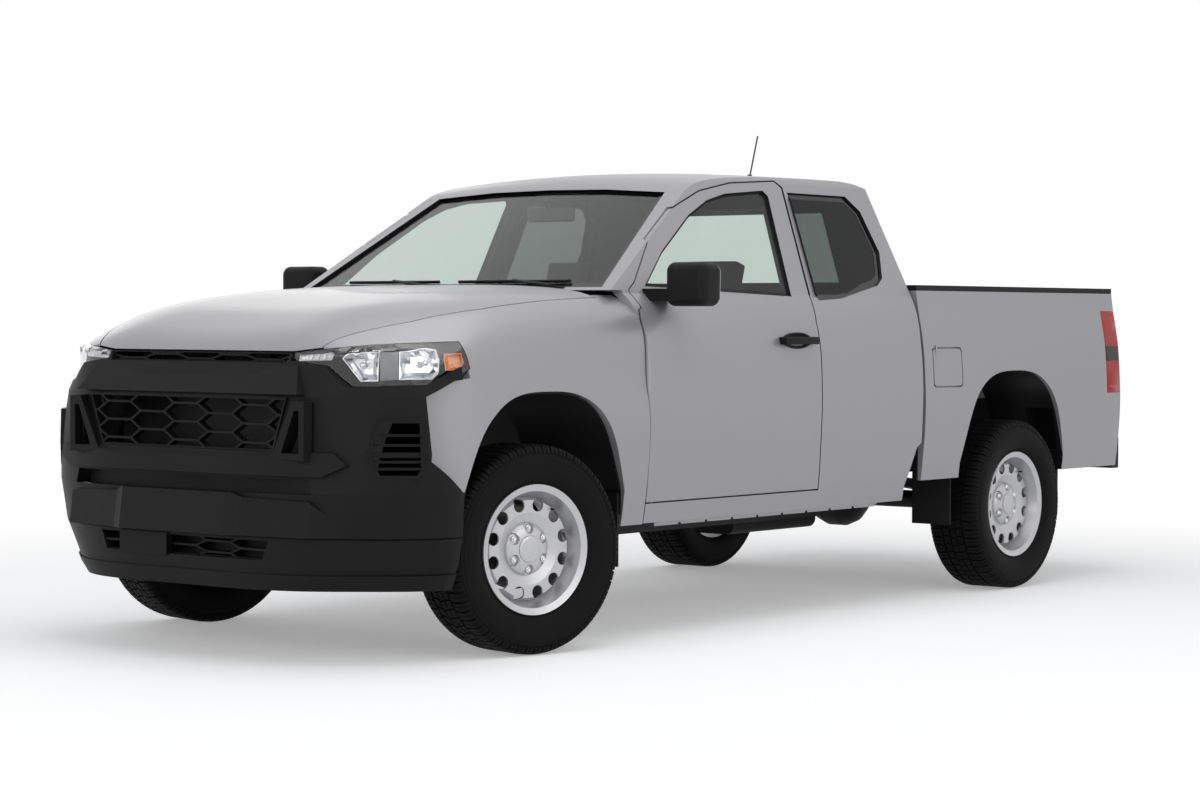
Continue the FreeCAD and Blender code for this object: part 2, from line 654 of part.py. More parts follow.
def front_volume(inset):
    """Solid shape of hood, fenders and lamps, drawn in from the skin by an inset."""
    wires = [nose_section(a, row, inset) for a, row in zip(STATION_SHARES, TOP_HEIGHT_SHARES)]
    body = Part.makeLoft(wires, True, False)
    outline = nose_plan(inset)
    curve = spline_edge([vec(x, y, 0) for x, y in outline[1:-1]])
    ends = [vec(outline[-1][0], outline[-1][1], 0), vec(outline[0][0], outline[0][1], 0)]
    edges = [curve, Part.makeLine(vec(*outline[-2], 0), ends[0]), Part.makeLine(ends[0], ends[1]),
             Part.makeLine(ends[1], vec(*outline[1], 0))]
    plan = Part.Face(Part.Wire(edges)).extrude(vec(0, 0, ROOF_HEIGHT))
    return body.common(plan)


def hood_outline():
    half = [(a * HALF_WIDTH, -b * FRONT_OVERHANG) for a, b in HOOD_PLAN_SHARES]
    rear = [(x, HOOD_REAR + HOOD_REAR_BOW * (x / HALF_WIDTH) ** 2) for x in
            (half[-1][0], HALF_WIDTH * 0.55, HALF_WIDTH * 0.28, 0)]
    half = half[1:-1] + rear[:-1]
    other = [(-x, y) for x, y in reversed(half)]
    return half + [rear[-1]] + other


def below_hood(offset):
    """Space under the hood's front edge, along the top of grille and lamps."""
    lamp = [(a * HALF_WIDTH, b * LAMP_LINE_HEIGHT) for a, b in LAMP_FRONT_SHARES]
    inner = (lamp[0][0] - offset, lamp[0][1] + offset)
    half = [inner, (lamp[7][0], lamp[7][1] + offset),
            (HALF_WIDTH + OVERRUN, lamp[6][1] + offset), (HALF_WIDTH + OVERRUN, 0)]
    other = [(-x, z) for x, z in reversed(half)]
    return prism_y(half + other, -FRONT_OVERHANG - OVERRUN, -LAMP_REAR)


def lamp_prism(offset=0.0):
    outline = [(a * HALF_WIDTH, b * LAMP_LINE_HEIGHT) for a, b in LAMP_FRONT_SHARES]
    if offset:
        outline = grown(outline, offset)
    return prism_y(outline, -FRONT_OVERHANG - OVERRUN, -LAMP_REAR + offset)


def arch_outline(centre, half, top, offset=0.0):
    """Wheel arch in side view, open below."""
    rise = top - ARCH_FOOT
    points = [(centre + a * (half + offset), ARCH_FOOT + b * (rise + offset)) for a, b in ARCH_SHARES]
    curve = Part.BSplineCurve()
    curve.interpolate([vec(0, y, z) for y, z in points])
    return points, curve.toShape()


def arch_prism(centre, half, top, offset, x0, x1):
    points, curve = arch_outline(centre, half, top, offset)
    foot0 = vec(0, points[0][0], 0)
    foot1 = vec(0, points[-1][0], 0)
    edges = [curve, Part.makeLine(vec(0, *points[-1]), foot1), Part.makeLine(foot1, foot0),
             Part.makeLine(foot0, vec(0, *points[0]))]
    face = Part.Face(Part.Wire(edges))
    face.translate(vec(x0, 0, 0))
    return face.extrude(vec(x1 - x0, 0, 0))


def front_arch(offset, x0, x1):
    return arch_prism(FRONT_ARCH_CENTRE, FRONT_ARCH_HALF, FRONT_ARCH_TOP, offset, x0, x1)


def rear_arch(offset, x0, x1):
    return arch_prism(WHEELBASE + REAR_ARCH_CENTRE, REAR_ARCH_HALF, REAR_ARCH_TOP, offset, x0, x1)


def fascia_wire(level, shares, inset):
    half = [(a * (HALF_WIDTH - inset), -b * FRONT_OVERHANG + inset) for a, b in shares]
    other = [(-x, y) for x, y in reversed(half[1:])]
    points = [vec(x, y, level) for x, y in other + half]
    rear = -FASCIA_REAR + OVERRUN
    corner0 = vec(points[-1].x, rear, level)
    corner1 = vec(points[0].x, rear, level)
    return Part.Wire([spline_edge(points), Part.makeLine(points[-1], corner0),
                      Part.makeLine(corner0, corner1), Part.makeLine(corner1, points[0])])


def fascia_volume(inset):
    wires = [fascia_wire(z, row, inset) for z, row in zip(FASCIA_LEVELS, FASCIA_PLAN_SHARES)]
    return Part.makeLoft(wires, True, True)


# Panels

def make_body_panels(pieces):
    outer = cab_volume(0, 0)
    end = UPPER_WALL
    inner = belt_split(cab_volume(LOWER_WALL, end), cab_volume(UPPER_WALL, end))
    wide = HALF_WIDTH + OVERRUN
    cabin = inner.common(block(-wide, wide, 0, CAB_REAR, FLOOR_TOP, ROOF_HEIGHT))
    shell = outer.cut(cabin)
    rocker = HALF_WIDTH - ROCKER_WIDTH
    floor_z = FLOOR_TOP - FLOOR_THICKNESS
    shell = shell.cut(block(-rocker, rocker, 0, CAB_REAR + OVERRUN, 0, floor_z))
    rear_cut = [(CAB_REAR - CAB_REAR_CUT, 0), (CAB_REAR - CAB_REAR_CUT, SILL_HEIGHT + OVERRUN),
                (CAB_REAR - CAB_REAR_CUT * 0.3, SILL_HEIGHT + CAB_REAR_CUT_HEIGHT * 1.6),
                (CAB_REAR + OVERRUN, SILL_HEIGHT + CAB_REAR_CUT_HEIGHT * 2), (CAB_REAR + OVERRUN, 0)]
    shell = shell.cut(prism_x(rear_cut, rocker, wide)).cut(prism_x(rear_cut, -wide, -rocker))

    skin = outer.cut(belt_split(cab_volume(DOOR_SKIN, 0), cab_volume(FRAME_SKIN, 0)))
    deep = outer.cut(belt_split(cab_volume(DOOR_SKIN + SHUT_GAP, 0), cab_volume(FRAME_SKIN + SHUT_GAP, 0)))
    core = belt_split(cab_volume(DOOR_SKIN, 0), cab_volume(FRAME_SKIN, 0)).cut(
        belt_split(cab_volume(LOWER_WALL, 0), cab_volume(UPPER_WALL, 0)))
    axis_y = hinge_axis_y()
    behind = block(0, wide, axis_y, CAB_REAR, 0, ROOF_HEIGHT * 1.2)

    door = skin.common(side_cut(door_outline())).common(nose_region(HINGE_NOSE_RADIUS, 0))
    door = door.fuse(core.common(side_cut(door_outline(-REBATE))).common(behind))
    door = door.cut(side_cut(window_outline(DOOR_WINDOW_SHARES)))
    pin = Part.makeCylinder(DOOR_PIN_RADIUS, DOOR_PIN_HEIGHT,
                            vec(HINGE_HALF_WIDTH, axis_y, DOOR_BOTTOM - SHUT_GAP * 2))
    bore = Part.makeCylinder(DOOR_PIN_RADIUS + PIN_CLEARANCE, DOOR_PIN_HEIGHT,
                             vec(HINGE_HALF_WIDTH, axis_y, DOOR_BOTTOM - SHUT_GAP))
    door = door.cut(bore)

    opening = deep.common(side_cut(door_outline(SHUT_GAP)))
    slid = side_cut(door_outline(SHUT_GAP))
    slid.translate(vec(0, SHUT_GAP, 0))
    upper = block(0, wide, DOOR_FRONT + DOOR_LENGTH / 2, CAB_REAR, BELT_HEIGHT, ROOF_HEIGHT * 1.2)
    opening = opening.fuse(deep.common(slid).common(upper))
    opening = opening.common(nose_region(HINGE_NOSE_RADIUS + SHUT_GAP, SHUT_GAP))
    through = side_cut(door_outline(SHUT_GAP * 2 - REBATE)).common(
        block(0, wide, axis_y - SHUT_GAP, CAB_REAR, 0, ROOF_HEIGHT * 1.2))
    shell = shell.cut(opening).cut(through).cut(mirrored(opening)).cut(mirrored(through))

    zone = block(-wide, wide, FIREWALL - OVERRUN, DOOR_FRONT + HINGE_NOSE_RADIUS, 0, WINDSHIELD_BASE_HEIGHT)
    shell = shell.cut(zone.cut(front_volume(FENDER_THICKNESS + SEAT_GAP)).cut(
        block(-wide, wide, FENDER_REAR + SHUT_GAP + SEAT_GAP, CAB_REAR, 0, ROOF_HEIGHT)))

    hood_room = prism_z(grown(hood_outline(), SHUT_GAP), HOOD_AXIS_HEIGHT - HOOD_LUG_DEPTH * 2, ROOF_HEIGHT)
    hood_room = hood_room.common(zone).cut(front_volume(HOOD_THICKNESS + SHUT_GAP))
    shell = shell.cut(hood_room)

    quarter = side_cut(window_outline(QUARTER_WINDOW_SHARES))
    shell = shell.cut(quarter).cut(mirrored(quarter))
    shell = shell.cut(windshield_prism(0)).cut(rear_window_prism(0))
    pocket = hood_pocket()
    wheel_room = front_arch(0, LINER_INNER - SEAT_GAP, wide)
    nose_room = block(HINGE_HALF_WIDTH, wide, FENDER_REAR, axis_y, DOOR_BOTTOM - SHUT_GAP, ROOF_HEIGHT)
    shell = shell.cut([wheel_room, mirrored(wheel_room), nose_room, mirrored(nose_room)])
    drum = Part.makeCylinder(HINGE_NOSE_RADIUS + SHUT_GAP, DOOR_HEIGHT * DOOR_SHARES[1][1] + SHUT_GAP,
                             vec(HINGE_HALF_WIDTH, axis_y, DOOR_BOTTOM - SHUT_GAP))
    shell = shell.cut([drum, mirrored(drum)])
    lug = hood_lug()
    shell = shell.cut([pocket, mirrored(pocket)])
    shell = shell.fuse([pin, mirrored(pin), lug, mirrored(lug)])
    pieces["cab_shell"] = solid_of(shell)
    pieces["door_left"] = solid_of(door)
    pieces["door_right"] = mirrored(pieces["door_left"])

    layer = cab_volume(GLASS_DEPTH, 0).cut(cab_volume(GLASS_DEPTH + GLASS_THICKNESS, 0))
    pane = layer.common(side_cut(window_outline(DOOR_WINDOW_SHARES, -SEAT_GAP)))
    pieces["door_glass_left"] = solid_of(pane)
    pieces["door_glass_right"] = mirrored(pieces["door_glass_left"])
    quarter_pane = layer.common(side_cut(window_outline(QUARTER_WINDOW_SHARES, -SEAT_GAP)))
    face = cab_volume(0, GLASS_DEPTH).cut(cab_volume(0, GLASS_DEPTH + GLASS_THICKNESS))
    shield = face.common(windshield_prism(-SEAT_GAP))
    rear_pane = face.common(rear_window_prism(-SEAT_GAP))
    panes = [solid_of(quarter_pane), solid_of(shield), solid_of(rear_pane)]
    pieces["fixed_glass"] = Part.makeCompound([panes[0], mirrored(panes[0]), panes[1], panes[2]])


def windshield_prism(offset):
    rise = WINDSHIELD_TOP - WINDSHIELD_BASE_HEIGHT - GLASS_DEPTH
    half = [(a * HALF_WIDTH, WINDSHIELD_BASE_HEIGHT + GLASS_DEPTH + b * rise) for a, b in WINDSHIELD_SHARES]
    outline = half + [(-x, z) for x, z in reversed(half[:-1])]
    if offset:
        outline = grown(outline, offset)
    return prism_y(outline, FIREWALL, DOOR_FRONT + DOOR_LENGTH * 0.66)


def rear_window_prism(offset):
    lean = REAR_WINDOW_HALF - REAR_WINDOW_LEAN
    outline = [(REAR_WINDOW_HALF, REAR_WINDOW_BOTTOM), (lean, REAR_WINDOW_TOP), (-lean, REAR_WINDOW_TOP),
               (-REAR_WINDOW_HALF, REAR_WINDOW_BOTTOM)]
    if offset:
        outline = grown(outline, offset)
    return prism_y(outline, CAB_REAR - UPPER_WALL * 3, CAB_REAR + OVERRUN)


def hood_round(radius, x0, x1):
    """Cylinder about the hood's axis between two places across the truck."""
    return Part.makeCylinder(radius, x1 - x0, vec(x0, HOOD_AXIS_PLACE, HOOD_AXIS_HEIGHT), vec(1, 0, 0))


def hood_lug():
    """Left lug on the cowl with the hood's pin."""
    x1 = HOOD_EAR_PLACE - SHUT_GAP
    x0 = x1 - HOOD_LUG_THICKNESS
    foot = block(x0, x1, HOOD_AXIS_PLACE - HOOD_EYE_RADIUS, HOOD_AXIS_PLACE + HOOD_EYE_RADIUS,
                 HOOD_AXIS_HEIGHT - HOOD_LUG_DEPTH, HOOD_AXIS_HEIGHT)
    pin = hood_round(HOOD_PIN_RADIUS, x0, HOOD_EAR_PLACE + HOOD_EAR_THICKNESS)
    return foot.fuse([hood_round(HOOD_EYE_RADIUS, x0, x1), pin])


def hood_pocket():
    """Room in the cowl for the left ear of the hood."""
    reach = HOOD_EYE_RADIUS + SHUT_GAP
    return block(HOOD_EAR_PLACE - SHUT_GAP, HOOD_EAR_PLACE + HOOD_EAR_THICKNESS + SHUT_GAP,
                 FIREWALL - OVERRUN, HOOD_AXIS_PLACE + reach, HOOD_AXIS_HEIGHT - HOOD_LUG_DEPTH,
                 HOOD_AXIS_HEIGHT + OVERRUN)


def hood_ear():
    """Left ear under the hood's rear edge, without its bore."""
    x0 = HOOD_EAR_PLACE
    low = HOOD_AXIS_HEIGHT - HOOD_EYE_RADIUS
    front = HOOD_AXIS_PLACE - HOOD_EAR_LENGTH
    outline = [(HOOD_AXIS_PLACE, low), (HOOD_AXIS_PLACE, HOOD_AXIS_HEIGHT), (front, HOOD_AXIS_HEIGHT),
               (front, low - HOOD_EYE_RADIUS)]
    plate = prism_x(outline, x0, x0 + HOOD_EAR_THICKNESS)
    return plate.fuse(hood_round(HOOD_EYE_RADIUS, x0, x0 + HOOD_EAR_THICKNESS))


def make_front(pieces):
    outer = front_volume(0)
    wide = HALF_WIDTH + OVERRUN
    hood = outer.cut(front_volume(HOOD_THICKNESS)).common(prism_z(hood_outline(), 0, ROOF_HEIGHT))
    low = block(-wide, wide, -FRONT_OVERHANG, FENDER_REAR, 0, HOOD_TOP_HEIGHT * 0.79)
    hood = hood.cut(below_hood(SHUT_GAP)).cut(low)
    ear = hood_ear().cut(outer.cut(front_volume(HOOD_THICKNESS / 2)))
    hood = hood.fuse([ear, mirrored(ear)])
    bore = hood_round(HOOD_PIN_RADIUS + PIN_CLEARANCE, HOOD_EAR_PLACE - OVERRUN, HOOD_EAR_PLACE + OVERRUN)
    pieces["hood"] = solid_of(hood.cut([bore, mirrored(bore)]))

    zone = prism_x(spread(FENDER_ZONE_SHARES, (0, 0), (FRONT_OVERHANG, LAMP_LINE_HEIGHT)), HALF_WIDTH * 0.5,
                   wide)
    fender = outer.cut(front_volume(FENDER_THICKNESS)).common(zone)
    fender = fender.cut(prism_z(grown(hood_outline(), SHUT_GAP), HOOD_TOP_HEIGHT * 0.70, ROOF_HEIGHT))
    fender = fender.cut(block(0, HALF_WIDTH * 0.8, FIREWALL - OVERRUN, FENDER_REAR + OVERRUN, 0, ROOF_HEIGHT))
    fender = fender.cut(block(0, HALF_WIDTH * 0.9, -FRONT_OVERHANG, FENDER_REAR + OVERRUN, 0, FRONT_ARCH_TOP))
    fender = fender.cut(front_arch(0, LINER_INNER, wide)).cut(lamp_prism(TRIM_GAP))
    fender = fender.cut(nose_region(HINGE_NOSE_RADIUS + SHUT_GAP, HINGE_NOSE_RADIUS))
    pieces["front_fenders"] = both_sides(solid_of(fender))

    lamp = outer.cut(front_volume(LAMP_DEPTH)).common(lamp_prism())
    pieces["headlamps"] = both_sides(solid_of(lamp))

    cover = fascia_volume(0).cut(fascia_volume(FASCIA_WALL))
    cover = cover.cut(block(-wide, wide, -FASCIA_REAR, 0, 0, ROOF_HEIGHT))
    cover = cover.cut(seam_groove())
    cover = cover.fuse([lower_bar(), chin(), lip()])
    cover = cover.fuse([brow_bar(), slot_ring(), mirrored(slot_ring()), pocket_rim(), mirrored(pocket_rim())])
    zone_gap = prism_x(grown(spread(FENDER_ZONE_SHARES, (0, 0), (FRONT_OVERHANG, LAMP_LINE_HEIGHT)), TRIM_GAP),
                       HALF_WIDTH * 0.78, wide)
    cover = cover.cut(zone_gap).cut(mirrored(zone_gap))
    lamps = lamp_prism(TRIM_GAP)
    cover = cover.cut(lamps).cut(mirrored(lamps))
    holes = [grille_prism(0), upper_slot(0), middle_slot(), low_slot(0)]
    for hole in (ring_slot(), pocket_hole()):
        holes += [hole, mirrored(hole)]
    cover = cover.cut(holes)
    slats = pocket_slats()
    pad = block(LOW_PAD_FROM, LOW_PAD_TO, -LOW_SLOT_FACE - FASCIA_WALL / 2, -LOW_SLOT_FACE + FASCIA_WALL / 2,
                LOW_SLOT_BOTTOM - SHUT_GAP, LOW_SLOT_TOP + SHUT_GAP)
    cover = cover.fuse([slats, mirrored(slats), pad])
    pieces["front_bumper"] = solid_of(cover)
    pieces["grille"] = Part.makeCompound([grille(), upper_mesh(), low_mesh()])


def mirrored_outline(half):
    """Closed outline from the points of its left half."""
    return half + [(-a, b) for a, b in reversed(half)]


def lower_bar():
    """The bar that stands out below the grille, higher and further out in its middle."""
    wires = []
    for lean, z in ((0, BAR_BOTTOM), (BAR_LEAN, BAR_TOP)):
        plan = mirrored_outline([(a * BAR_HALF, lean - b * FRONT_OVERHANG) for a, b in BAR_PLAN_SHARES])
        plan += [(-BAR_HALF, -FASCIA_REAR), (BAR_HALF, -FASCIA_REAR)]
        wires.append(Part.makePolygon([vec(x, y, z) for x, y in plan + plan[:1]]))
    front = mirrored_outline(spread(BAR_FRONT_SHARES, (0, BAR_BOTTOM), (BAR_HALF, BAR_TOP - BAR_BOTTOM)))
    bar = Part.makeLoft(wires, True, True).common(prism_y(front, -FRONT_OVERHANG - OVERRUN, 0))
    return bar.cut(fascia_volume(FASCIA_WALL / 2))


def lip():
    """Raised edge along the bottom of the cover."""
    band = block(-HALF_WIDTH, HALF_WIDTH, -FRONT_OVERHANG - OVERRUN, -FASCIA_REAR, FASCIA_LEVELS[0], LIP_TOP)
    return fascia_volume(-LIP_STAND).cut(fascia_volume(FASCIA_WALL / 2)).common(band)


def chin():
    """Folded band under the grille that runs round to the corner pockets."""
    reach = -FRONT_OVERHANG - OVERRUN
    fold = [(-GRILLE_FACE, CHIN_TOP), (-GRILLE_FACE - CHIN_TOP + CHIN_FOLD, CHIN_FOLD),
            (reach, CHIN_FOLD - SHUT_GAP),
            (reach, CHIN_BOTTOM), (-FASCIA_REAR, CHIN_BOTTOM), (-FASCIA_REAR, CHIN_TOP)]
    band = fascia_volume(-CHIN_STAND).cut(fascia_volume(FASCIA_WALL / 2))
    front = mirrored_outline(CHIN_FRONT)
    return band.common(prism_x(fold, -HALF_WIDTH, HALF_WIDTH)).common(prism_y(front, -FRONT_OVERHANG - OVERRUN,
                                                                              0))


def seam_groove():
    """Groove between the cover and its lower part."""
    band = block(-HALF_WIDTH, HALF_WIDTH, -FRONT_OVERHANG - OVERRUN, 0, SEAM_HEIGHT, SEAM_HEIGHT + SEAM_WIDTH)
    return band.cut(fascia_volume(SEAM_DEPTH))


def brow_bar():
    """Plain bar over the grille, leaning back towards its top."""
    low = -GRILLE_FACE - BROW_STAND
    side = [(low, BROW_BOTTOM), (low + BROW_LEAN, BROW_TOP), (low + BROW_LEAN + BROW_DEPTH, BROW_TOP),
            (low + BROW_DEPTH, BROW_BOTTOM)]
    front = mirrored_outline([(BROW_HALF_BOTTOM, BROW_BOTTOM), (BROW_HALF_TOP, BROW_TOP)])
    bar = prism_x(side, -BROW_HALF_BOTTOM, BROW_HALF_BOTTOM)
    return bar.common(prism_y(front, -FRONT_OVERHANG - OVERRUN, 0))


def upper_slot(offset):
    """Slot between the brow and the hood's edge, drawn in by an offset."""
    outline = mirrored_outline([(UPPER_SLOT_HALF_BOTTOM - offset, UPPER_SLOT_BOTTOM + offset),
                                (UPPER_SLOT_HALF_TOP - offset, UPPER_SLOT_TOP - offset)])
    return prism_y(outline, -FRONT_OVERHANG - OVERRUN, -FASCIA_REAR)


def middle_slot():
    outline = mirrored_outline([(MIDDLE_SLOT_HALF_BOTTOM, BAR_TOP - SHUT_GAP),
                                (MIDDLE_SLOT_HALF_TOP, MIDDLE_SLOT_TOP)])
    return prism_y(outline, -FRONT_OVERHANG - OVERRUN, -FASCIA_REAR)


def low_slot(offset):
    outline = mirrored_outline([(LOW_SLOT_HALF - LOW_SLOT_TAPER - offset, LOW_SLOT_BOTTOM + offset),
                                (LOW_SLOT_HALF - offset, LOW_SLOT_TOP - offset)])
    return prism_y(outline, -FRONT_OVERHANG - OVERRUN, -FASCIA_REAR)


def slot_ring():
    """Left raised ring beside the grille, before its slot is cut."""
    ring = prism_y(RING_OUTSIDE, -GRILLE_FACE - RING_STAND, -GRILLE_FACE + FASCIA_WALL)
    return ring.cut(grille_prism(0))


def ring_slot():
    return prism_y(RING_SLOT, -FRONT_OVERHANG - OVERRUN, -FASCIA_REAR)


def pocket_hole():
    """Opening inside the rim of the left corner pocket."""
    return at_pocket(prism_y(grown(POCKET_OUTLINE, -POCKET_RIM), -POCKET_STAND - OVERRUN, FASCIA_WALL * 2))


def at_pocket(shape):
    shape.rotate(vec(0, 0, 0), vec(0, 0, 1), POCKET_TURN)
    shape.translate(vec(POCKET_PLACE[0], POCKET_PLACE[1], 0))
    return shape


def pocket_rim():
    return at_pocket(prism_y(POCKET_OUTLINE, -POCKET_STAND, FASCIA_WALL)).cut(fascia_volume(FASCIA_WALL))


def pocket_slats():
    """Level slats across the left corner pocket."""
    slats = []
    for level in POCKET_SLAT_LEVELS:
        half = POCKET_SLAT_HEIGHT if level == POCKET_OUTLINE[0][1] else POCKET_SLAT_HEIGHT / 2
        slats.append(block(POCKET_OUTLINE[0][0], POCKET_OUTLINE[3][0], POCKET_STAND,
                           POCKET_STAND + POCKET_SLAT_DEPTH,
                           level - half, level + half))
    inside = prism_y(grown(POCKET_OUTLINE, SEAT_GAP - POCKET_RIM), -POCKET_STAND, FASCIA_WALL * 2)
    return at_pocket(Part.makeCompound([slat.common(inside) for slat in slats]))


def grille_prism(offset):
    """Opening of the main grille, drawn in by an offset."""
    outline = mirrored_outline([(GRILLE_HALF_BOTTOM - offset, GRILLE_BOTTOM + offset),
                                (GRILLE_HALF_TOP - offset, GRILLE_TOP - offset)])
    return prism_y(outline, -FRONT_OVERHANG - OVERRUN, -FASCIA_REAR)


def honeycomb(middle, row_height, room):
    """Cutters for long cells in staggered columns that keep inside the given room."""
    cells = []
    for column in range(-GRILLE_COLUMNS, GRILLE_COLUMNS + 1):
        for row in range(-GRILLE_ROWS, GRILLE_ROWS + 1):
            z = middle + (row + 0.5 * ((column + 1) % 2)) * row_height
            cell = hexagon(column * GRILLE_PITCH, z, row_height).common(room)
            if cell.Volume > 0:
                cells.append(cell)
    return cells


def grille():
    """Plate with rows of long six-sided openings."""
    band = block(-GRILLE_HALF_TOP, GRILLE_HALF_TOP, -GRILLE_FACE, -GRILLE_FACE + GRILLE_PLATE, GRILLE_BOTTOM,
                 GRILLE_TOP)
    plate = grille_prism(SEAT_GAP).common(band)
    middle = (GRILLE_BOTTOM + GRILLE_TOP) / 2
    return solid_of(plate.cut(honeycomb(middle, GRILLE_ROW_HEIGHT, grille_prism(GRILLE_RIB))))


def upper_mesh():
    """Thin mesh in the slot under the hood."""
    band = block(-GRILLE_HALF_TOP, GRILLE_HALF_TOP, -UPPER_SLOT_FACE, -UPPER_SLOT_FACE + GRILLE_PLATE,
                 UPPER_SLOT_BOTTOM, UPPER_SLOT_TOP)
    plate = upper_slot(SEAT_GAP).common(band)
    middle = (UPPER_SLOT_BOTTOM + UPPER_SLOT_TOP) / 2 - UPPER_SLOT_ROW / 4
    return solid_of(plate.cut(honeycomb(middle, UPPER_SLOT_ROW, upper_slot(GRILLE_RIB / 2))))


def low_mesh():
    """Mesh in the low opening, behind the flat pad."""
    band = block(-LOW_SLOT_HALF, LOW_SLOT_HALF, -LOW_SLOT_FACE + FASCIA_WALL / 2 + SEAT_GAP,
                 -LOW_SLOT_FACE + FASCIA_WALL + GRILLE_PLATE, LOW_SLOT_BOTTOM, LOW_SLOT_TOP)
    plate = low_slot(SEAT_GAP).common(band)
    middle = (LOW_SLOT_BOTTOM + LOW_SLOT_TOP) / 2
    return solid_of(plate.cut(honeycomb(middle, LOW_SLOT_ROW, low_slot(GRILLE_RIB / 2))))


def hexagon(x, z, row_height):
    """Long six-sided cutter with a flat top and bottom."""
    half = GRILLE_PITCH - GRILLE_FLAT / 2 - GRILLE_RIB
    flat = GRILLE_FLAT / 2
    rise = (row_height - GRILLE_RIB) / 2
    outline = [(x - half, z), (x - flat, z - rise), (x + flat, z - rise), (x + half, z),
               (x + flat, z + rise), (x - flat, z + rise)]
    return prism_y(outline, -FRONT_OVERHANG - OVERRUN, -FASCIA_REAR)


# Bed

def bed_section_points(inset):
    rise = BED_RAIL_HEIGHT - SILL_HEIGHT
    return [(a * HALF_WIDTH - inset, SILL_HEIGHT + b * rise) for a, b in BED_SIDE_SHARES]


def bed_volume(inset, y0, y1):
    side = [vec(x, y0, z) for x, z in bed_section_points(inset)]
    other = [vec(-p.x, p.y, p.z) for p in reversed(side)]
    edges = [spline_edge(side), Part.makeLine(side[-1], other[0]), spline_edge(other),
             Part.makeLine(other[-1], side[0])]
    return Part.Face(Part.Wire(edges)).extrude(vec(0, y1 - y0, 0))


def tail_lamp_prism(offset):
    """Space of the left tail lamp in side view, wrapped round the rear corner."""
    rear = bed_rear()
    return block(TAILGATE_HALF + SHUT_GAP - offset + SHUT_GAP, HALF_WIDTH + OVERRUN,
                 rear - TAIL_LAMP_LENGTH - offset,
                 rear + OVERRUN, LAMP_BOTTOM - offset, LAMP_TOP + offset)


def bed_front():
    return CAB_REAR + BED_GAP


def bed_rear():
    return bed_front() + BED_LENGTH


